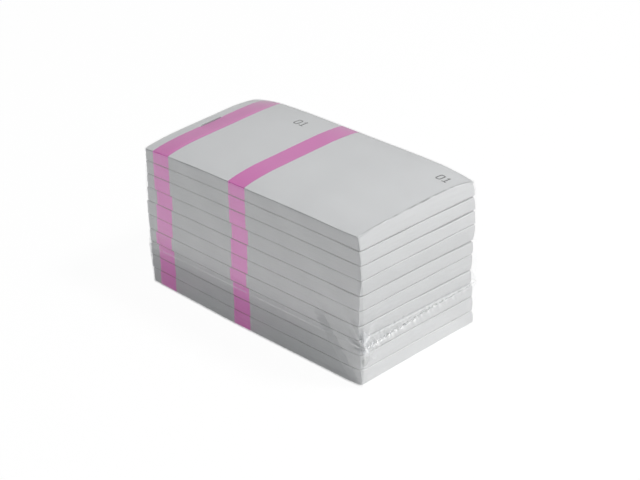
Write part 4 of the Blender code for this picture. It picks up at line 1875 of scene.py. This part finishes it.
@dataclass
class ShrinkFilm:
    """The film round the pack: an upper and a lower web that meet in a puckered trim seal."""

    finish: FilmFinish
    clear: Material
    edge: Material
    marks: FilmMarks = FilmMarks()
    lid_gap: float = 0.00016
    lid_slant: float = 0.4
    lid_waves: Waves = Waves(71, (0.041, 0.027), 0.00002)
    tent: float = 0.0002
    tent_width: float = 0.0025
    tent_half_length: float = 0.0065
    tent_run_out: float = 0.004
    thickness: float = 0.00006
    rounding: tuple[Pair, ...] = ((0.00032, 0.0), (0.0001, 0.0001))
    rounding_drop: float = 0.00045
    corner_pull: float = 0.0002
    deepest: float = -0.00018
    wall_slant: float = 0.7
    wall_waves: Waves = Waves(83, (0.023, 0.037), 0.00004)
    web_gap: float = 0.00004
    lip: float = 0.0001
    lip_shares: Pair = (0.45, 1.0)
    lip_middle: Hump = Hump(-0.012, 0.040)
    frill_waves: Waves = Waves(91, (0.0023, 0.0037, 0.0061), 0.00009)
    column_step: float = 0.0024
    gathered_columns_mm: Triple = (1.0, 26.0, 0.9)
    row_step: float = 0.0006
    edge_steps: Pair = (0.0003, 0.0008)
    shoulder_rings: int = 6
    upper_rings: int = 14
    hood_rings: int = 46
    hood_crowding: float = 1.2
    tray_rings: int = 40
    tray_crowding: float = 0.9
    sharp_angle: float = 60.0
    bead_radius: float = 0.00021
    bead_sides: int = 8
    bead_step: float = 0.0005
    bead_start: float = 0.0006
    bead_wobble: Waves = Waves(17, (0.0021, 0.0047, 0.011), 0.00018)
    bead_waves: Waves = Waves(19, (0.0017, 0.0031, 0.0053, 0.0127), 0.5)
    bead_limits: Pair = (0.05, 2.4)
    bead_least: float = 0.22
    bead_middle: Hump = Hump(-0.010, 0.026, 0.78)

    def columns(self, span: Pair) -> list[float]:
        """Grid lines along the pack, finer at its free end where the film is gathered."""
        near = [span[1] - step * MM for step in np.arange(*self.gathered_columns_mm)]
        return spaced(*span, self.column_step, near, self.edge_steps)

    def rows(self) -> list[float]:
        """Grid lines across the pack."""
        return spaced(-FORM.film_side, FORM.film_side, self.row_step, (), self.edge_steps)

    def lid(self, along: np.ndarray, across: np.ndarray) -> np.ndarray:
        """Height of the film over the top leaf.

        Args:
            along: Places along the pack.
            across: Places across the pack.

        Returns:
            The height at each place.
        """
        wave = self.lid_waves.at(along + self.lid_slant * across)
        from_staple = along - FORM.stub_margin - LIES[TOP_BOOK].print_shift
        ends = 1.0 - rise(np.abs(across) - self.tent_half_length, self.tent_run_out)
        tent = bell(from_staple, self.tent_width) * ends
        return FORM.leaf_top(along, across) + self.lid_gap + np.abs(wave) + self.tent * tent

    def base(self, along: np.ndarray, across: np.ndarray) -> np.ndarray:
        """Height of the film under the lowest book."""
        return FORM.base(along) - FORM.film_gap + 0.0 * across

    def wall_ring(
        self, skin: BoxSkin, span: Pair, height: HeightRule
    ) -> tuple[Ring, dict[str, np.ndarray]]:
        """One ring of the film's walls.

        Args:
            skin: The film's skin.
            span: Places of the end walls.
            height: The ring's height.

        Returns:
            The ring, and the film's traits at each of its points.
        """
        wall = WallPoints(skin, height)
        push, gather = self.marks.corner_folds(wall)
        push = push + self.marks.puckers(wall)
        traits = {
            self.finish.gather_name: np.clip(gather + self.marks.milky_edge(wall), -1.0, 1.0),
            self.finish.relief_name: self.marks.facets(wall),
            self.finish.lean_name: self.marks.creases(wall),
        }
        push = push + self.wall_waves.at(wall.along + wall.across + self.wall_slant * wall.heights)
        push = np.maximum(push, self.deepest)
        ring = Ring(*span, -FORM.film_side, FORM.film_side, height, push, self.corner_pull)
        return ring, traits

    def lip_rings(self, skin: BoxSkin, height: HeightRule) -> list[Ring]:
        """The trimmed lip that stands out at the seal.

        Args:
            skin: The film's skin.
            height: Height of the rim.

        Returns:
            The rings from the rim out.
        """
        wall = WallPoints(skin, height)
        frill = self.frill_waves.at(wall.line)
        made = []
        for share in self.lip_shares:
            reach = np.where(wall.front, 0.0, self.lip * share * self.lip_middle.at(wall.across))
            ring, _ = self.wall_ring(skin, FORM.rim_span, height)
            ring.outward = ring.outward * (1 - share) + reach
            ring.height = self.moved(height, frill * share)
            made.append(ring)
        return made

    def shell(
        self,
        name: str,
        node: str,
        body: str,
        span: Pair,
        walls: Sequence[Hoop],
        flat: HeightRule,
        flip: bool,
    ) -> Object:
        """Build one web of the film.

        Args:
            name: The piece's name.
            node: The CAD node that it stands for.
            body: The CAD body it rides on.
            span: Places of the end walls at the flat part's edge.
            walls: Span and height of each ring from the flat part to the rim.
            flat: Height of the flat part.
            flip: True where the flat part faces down.

        Returns:
            The piece.
        """
        skin = BoxSkin(self.columns(span), self.rows())
        rings = []
        traits = []
        sign = 1.0 if flip else -1.0
        for inset, drop in self.rounding:
            limits = (span[0] + inset, span[1] - inset)
            height = self.moved(flat, sign * drop)
            side = FORM.film_side - inset
            rings.append(Ring(*limits, -side, side, height, None, self.corner_pull))
            traits.append({})
        for limits, height in walls:
            ring, found = self.wall_ring(skin, limits, height)
            rings.append(ring)
            traits.append(found)
        rim = walls[-1][1]
        for ring in self.lip_rings(skin, rim):
            rings.append(ring)
            traits.append(traits[-1])
        mesh = skin.mesh(name, rings, flat, None, flip)
        start = len(skin.columns) * len(skin.rows)
        plain = np.zeros(len(skin.loop))
        for title in traits[-1]:
            values = np.zeros(len(mesh.vertices), dtype=np.float32)
            values[start:] = np.concatenate([found.get(title, plain) for found in traits[1:]])
            mesh.attributes.new(title, "FLOAT", "POINT").data.foreach_set("value", values)
        smooth(mesh, self.sharp_angle)
        piece = place_piece(mesh, self.clear, body, Slot.FILM, stands_for=[node])
        skin_depth = piece.modifiers.new("film_thickness", "SOLIDIFY")
        skin_depth.thickness = self.thickness
        skin_depth.offset = 1.0
        return piece

    @staticmethod
    def level(height: float) -> HeightRule:
        """A height rule that is the same all over."""
        return lambda along, across: height + 0.0 * across

    @staticmethod
    def by_seal(step: float) -> HeightRule:
        """A height rule that follows the seal's line."""
        return lambda along, across: FORM.seal(across) + step

    @staticmethod
    def moved(height: HeightRule, step: float | np.ndarray) -> HeightRule:
        """A height rule moved up or down."""
        return lambda along, across: height(along, across) + step

    def wall_steps(
        self,
        start: Hoop,
        end: Hoop,
        shares: Sequence[float],
    ) -> list[Hoop]:
        """Rings between two rings of a wall.

        Args:
            start: Span and height of the first ring.
            end: Span and height of the last ring.
            shares: Shares of the way for each ring.

        Returns:
            Span and height of each ring.
        """
        made = []
        for share in shares:
            span = tuple((1 - share) * first + share * second for first, second in zip(start[0], end[0]))
            made.append((span, between(start[1], end[1], share)))
        return made

    def build_upper(self) -> Object:
        """The film over the top and down the sides to the seal.

        Returns:
            The piece.
        """
        top = LIES[TOP_BOOK]
        lid_span = (top.bound_end - FORM.film_gap, top.high_end + FORM.film_gap)
        shoulder = FORM.film_span(LIES[TOP_BOOK - 1:])
        rounded = self.moved(self.lid, -self.rounding_drop)
        upper = (shoulder, self.level(FORM.upper_bend))
        lower = (FORM.rim_span, self.level(FORM.lower_bend))
        rim = (FORM.rim_span, self.by_seal(self.web_gap))
        crowded = 1 - (1 - np.linspace(0.0, 1.0, self.hood_rings)[1:]) ** self.hood_crowding
        walls = self.wall_steps((lid_span, rounded), upper, np.linspace(0.0, 1.0, self.shoulder_rings))
        walls += self.wall_steps(upper, lower, np.linspace(0.0, 1.0, self.upper_rings)[1:])
        walls += self.wall_steps(lower, rim, crowded)
        return self.shell("film_hood", "film_upper", "upper_film", lid_span, walls, self.lid, False)

    def build_lower(self) -> Object:
        """The film under the pack and up the sides to the seal.

        Returns:
            The piece.
        """
        base_span = FORM.film_span(LIES[:1])
        rounded = self.moved(self.base, self.rounding_drop)
        rim = (FORM.rim_span, self.by_seal(-self.web_gap))
        crowded = np.linspace(0.0, 1.0, self.tray_rings) ** self.tray_crowding
        walls = self.wall_steps((base_span, rounded), rim, crowded)
        return self.shell("film_tray", "film_lower", "lower_film", base_span, walls, self.base, True)

    def seal_path(self) -> list[Vector]:
        """Points of the seal's trimmed edge, round the free end, the back and the bound end.

        Returns:
            The points, in pack coordinates.
        """
        side = FORM.film_side
        bound, free = FORM.rim_span
        out = self.thickness + self.lip * 0.5
        stretch = np.arange(-side + self.bead_start, side, self.bead_step)
        points = [(free + out, across) for across in stretch]
        points += [(along, side + out) for along in np.arange(free, bound, -self.bead_step)]
        points += [(bound - out, across) for across in stretch[::-1]]
        line = np.arange(len(points)) * self.bead_step
        wobble = self.bead_wobble.at(line)
        heights = FORM.seal(np.array([across for _, across in points])) + wobble
        return [Vector((along, across, float(height))) for (along, across), height in zip(points, heights)]

    def build_bead(self) -> Object:
        """The seal's trimmed edge: a thin uneven bead of melted film.

        Returns:
            The piece.
        """
        points = self.seal_path()
        line = np.arange(len(points)) * self.bead_step
        uneven = 1.0 + self.bead_waves.at(line)
        fade = self.bead_least + self.bead_middle.at(np.array([point.y for point in points]))
        radii = self.bead_radius * np.clip(uneven, *self.bead_limits) * fade
        upward = Vector((0.0, 0.0, 1.0))
        mesh = wire_mesh("film_seal_bead", points, upward, radii, self.bead_sides)
        smooth(mesh, self.sharp_angle)
        bead = place_piece(mesh, self.edge, "upper_film", Slot.FILM)
        bead.visible_shadow = False
        return bead

    def build(self) -> None:
        """Build both webs and the bead along their seal."""
        self.build_lower()
        self.build_upper()
        self.build_bead()


@dataclass(frozen=True)
class SoftBox:
    """A square soft light: its place, the length of its sides, its power in watts and its tint."""

    name: str
    place: Triple
    size: float
    power: float
    tint: Triple


@dataclass
class Studio:
    """A plain pale floor, soft lights and the camera at the photograph's angle."""

    floor_size: float = 6.0
    floor_drop: float = 0.0001
    floor_white: float = 0.81
    floor_mirrored: float = 0.9
    floor_seen: float = 0.93
    floor_glow: float = 1.03
    floor_roughness: float = 0.9
    floor_cells: int = 8
    ambient: float = 0.318
    ambient_tint: Colour = (0.975, 0.99, 1.0, 1.0)
    mirrored_white: float = 0.25
    light_target: Triple = (0.0, 0.0, 0.04)
    camera_target: Triple = (0.069, 0.0, 0.0384)
    camera_distance: float = 1.0299
    camera_azimuth: float = 46.04
    camera_elevation: float = 28.78
    camera_roll: float = -2.10
    focal_pixels: float = 2200.0
    target_right: float = -11.2
    target_up: float = 7.3
    sensor_width: float = 36.0
    clip_end: float = 50.0
    soft_boxes: tuple[SoftBox, ...] = (
        SoftBox("right_soft_box", (1.10, 0.22, 0.36), 0.6, 2.55, (1.0, 0.985, 0.965)),
        SoftBox("key_soft_box", (0.52, 0.26, 0.96), 0.20, 6.12, (1.0, 0.995, 0.985)),
    )

    @staticmethod
    def rays(wiring: Wiring) -> tuple[NodeSocket, NodeSocket]:
        """Masks of the camera's own rays, and of those that mirrors and clear pieces send on."""
        path = wiring.add("ShaderNodeLightPath").outputs
        sent_on = wiring.math("MAXIMUM", path["Is Glossy Ray"], path["Is Transmission Ray"])
        return path["Is Camera Ray"], sent_on

    def build_floor(self) -> None:
        """Lay the floor: white to the camera and to reflections, pale to the light, with a faint shadow."""
        cells = self.floor_cells
        body = bmesh.new()
        bmesh.ops.create_grid(body, x_segments=cells, y_segments=cells, size=self.floor_size / 2)
        mesh = bpy.data.meshes.new("floor")
        body.to_mesh(mesh)
        body.free()
        floor = bpy.data.objects.new("floor", mesh)
        floor.location.z = -self.floor_drop
        bpy.context.scene.collection.objects.link(floor)
        material, wiring, shader = new_material("pale_floor")
        wiring.feed(shader, {"Base Color": grey(self.floor_white), "Roughness": self.floor_roughness})
        wiring.feed(shader, {"Specular IOR Level": 0.0})
        bright = wiring.add("ShaderNodeAddShader")
        for number in range(2):
            lit = wiring.feed(wiring.add("ShaderNodeBsdfDiffuse"), {"Color": grey(self.floor_mirrored)})
            wiring.feed(bright, {number: lit.outputs[0]})
        camera, other = self.rays(wiring)
        mirrored = wiring.blend(other, shader, bright)
        white = wiring.feed(wiring.add("ShaderNodeEmission"), {"Strength": self.floor_glow})
        seen = wiring.blend(wiring.math("MULTIPLY", camera, self.floor_seen), mirrored, white)
        wiring.feed(material.node_tree.nodes["Material Output"], {"Surface": seen.outputs[0]})
        mesh.materials.append(material)

    def build_world(self) -> None:
        """A dim even surrounding light that looks white itself."""
        world = bpy.data.worlds.new("studio")
        bpy.context.scene.world = world
        world.use_nodes = True
        wiring = Wiring(world.node_tree)
        dim = world.node_tree.nodes["Background"]
        wiring.feed(dim, {"Color": self.ambient_tint, "Strength": self.ambient})
        white = wiring.feed(wiring.add("ShaderNodeBackground"), {"Color": grey(1.0)})
        camera, other = self.rays(wiring)
        seen = wiring.math("MAXIMUM", camera, wiring.math("MULTIPLY", other, self.mirrored_white))
        both = wiring.blend(seen, dim, white)
        wiring.feed(world.node_tree.nodes["World Output"], {"Surface": both.outputs[0]})

    def add_light(self, box: SoftBox) -> None:
        """Hang a soft light that points at the pack.

        Args:
            box: The light.
        """
        light = bpy.data.lights.new(box.name, "AREA")
        light.color = box.tint
        light.size = box.size
        light.energy = box.power
        lamp = bpy.data.objects.new(box.name, light)
        lamp.location = box.place
        away = Vector(box.place) - Vector(self.light_target)
        lamp.rotation_euler = away.to_track_quat("Z", "Y").to_euler()
        bpy.context.scene.collection.objects.link(lamp)

    def build_camera(self) -> None:
        """Set the camera where the photograph was taken from."""
        turn = math.radians(self.camera_azimuth)
        lift = math.radians(self.camera_elevation)
        back = Vector((math.sin(turn) * math.cos(lift), -math.cos(turn) * math.cos(lift), math.sin(lift)))
        level_right = (-back).cross(Vector((0.0, 0.0, 1.0))).normalized()
        level_up = level_right.cross(-back)
        roll = math.radians(self.camera_roll)
        right = level_right * math.cos(roll) + level_up * math.sin(roll)
        up = level_up * math.cos(roll) - level_right * math.sin(roll)
        target = Vector(self.camera_target) + FORM.offset
        place = target + back * self.camera_distance
        per_pixel = self.camera_distance / self.focal_pixels
        aim = target - right * self.target_right * per_pixel - up * self.target_up * per_pixel
        out = (place - aim).normalized()
        right = up.cross(out).normalized()
        camera = bpy.data.cameras.new("camera")
        camera.sensor_width = self.sensor_width
        camera.lens = self.focal_pixels / IMAGE_WIDTH * self.sensor_width
        camera.clip_end = self.clip_end
        thing = bpy.data.objects.new("camera", camera)
        pose = Matrix((right, out.cross(right), out)).transposed().to_4x4()
        pose.translation = place
        thing.matrix_world = pose
        bpy.context.scene.collection.objects.link(thing)
        bpy.context.scene.camera = thing

    def build(self) -> None:
        """Build the whole studio."""
        bpy.context.scene.view_settings.view_transform = "Standard"
        self.build_floor()
        self.build_world()
        for box in self.soft_boxes:
            self.add_light(box)
        self.build_camera()


def main() -> None:
    """Build the pack's looks from the books out, then the studio."""
    logging.basicConfig(level=logging.INFO, format="%(message)s")
    effects = Effects(FORM)
    finish = PaperFinish(
        name="ticket_paper",
        face=(0.785, 0.795, 0.805, 1.0),
        # The cut colour is darker than the face: partly the cut edges' own grey, partly painted shade
        # between the leaves
        cut=(0.575, 0.585, 0.595, 1.0),
        ink_face=(0.79, 0.16, 0.565, 1.0),
        ink_cut=(0.98, 0.13, 0.71, 1.0),
    )
    paper = finish.material(effects)
    number_ink = NumberFinish().material(effects)
    steel = WireFinish().material(effects)
    film_finish = FilmFinish()
    clear = film_finish.material(effects)
    sealed = SealFinish().material(effects)
    books = [TicketBook(book, paper, finish.painted_shade_name) for book in range(len(LIES))]
    for book in books:
        book.build()
        Staple(book, steel).build()
    leaf = TopLeaf(paper)
    leaf.build()
    TicketNumber(number_ink).build(books, leaf)
    ShrinkFilm(film_finish, clear, sealed).build()
    Studio().build()


if __name__ == "__main__":
    main()
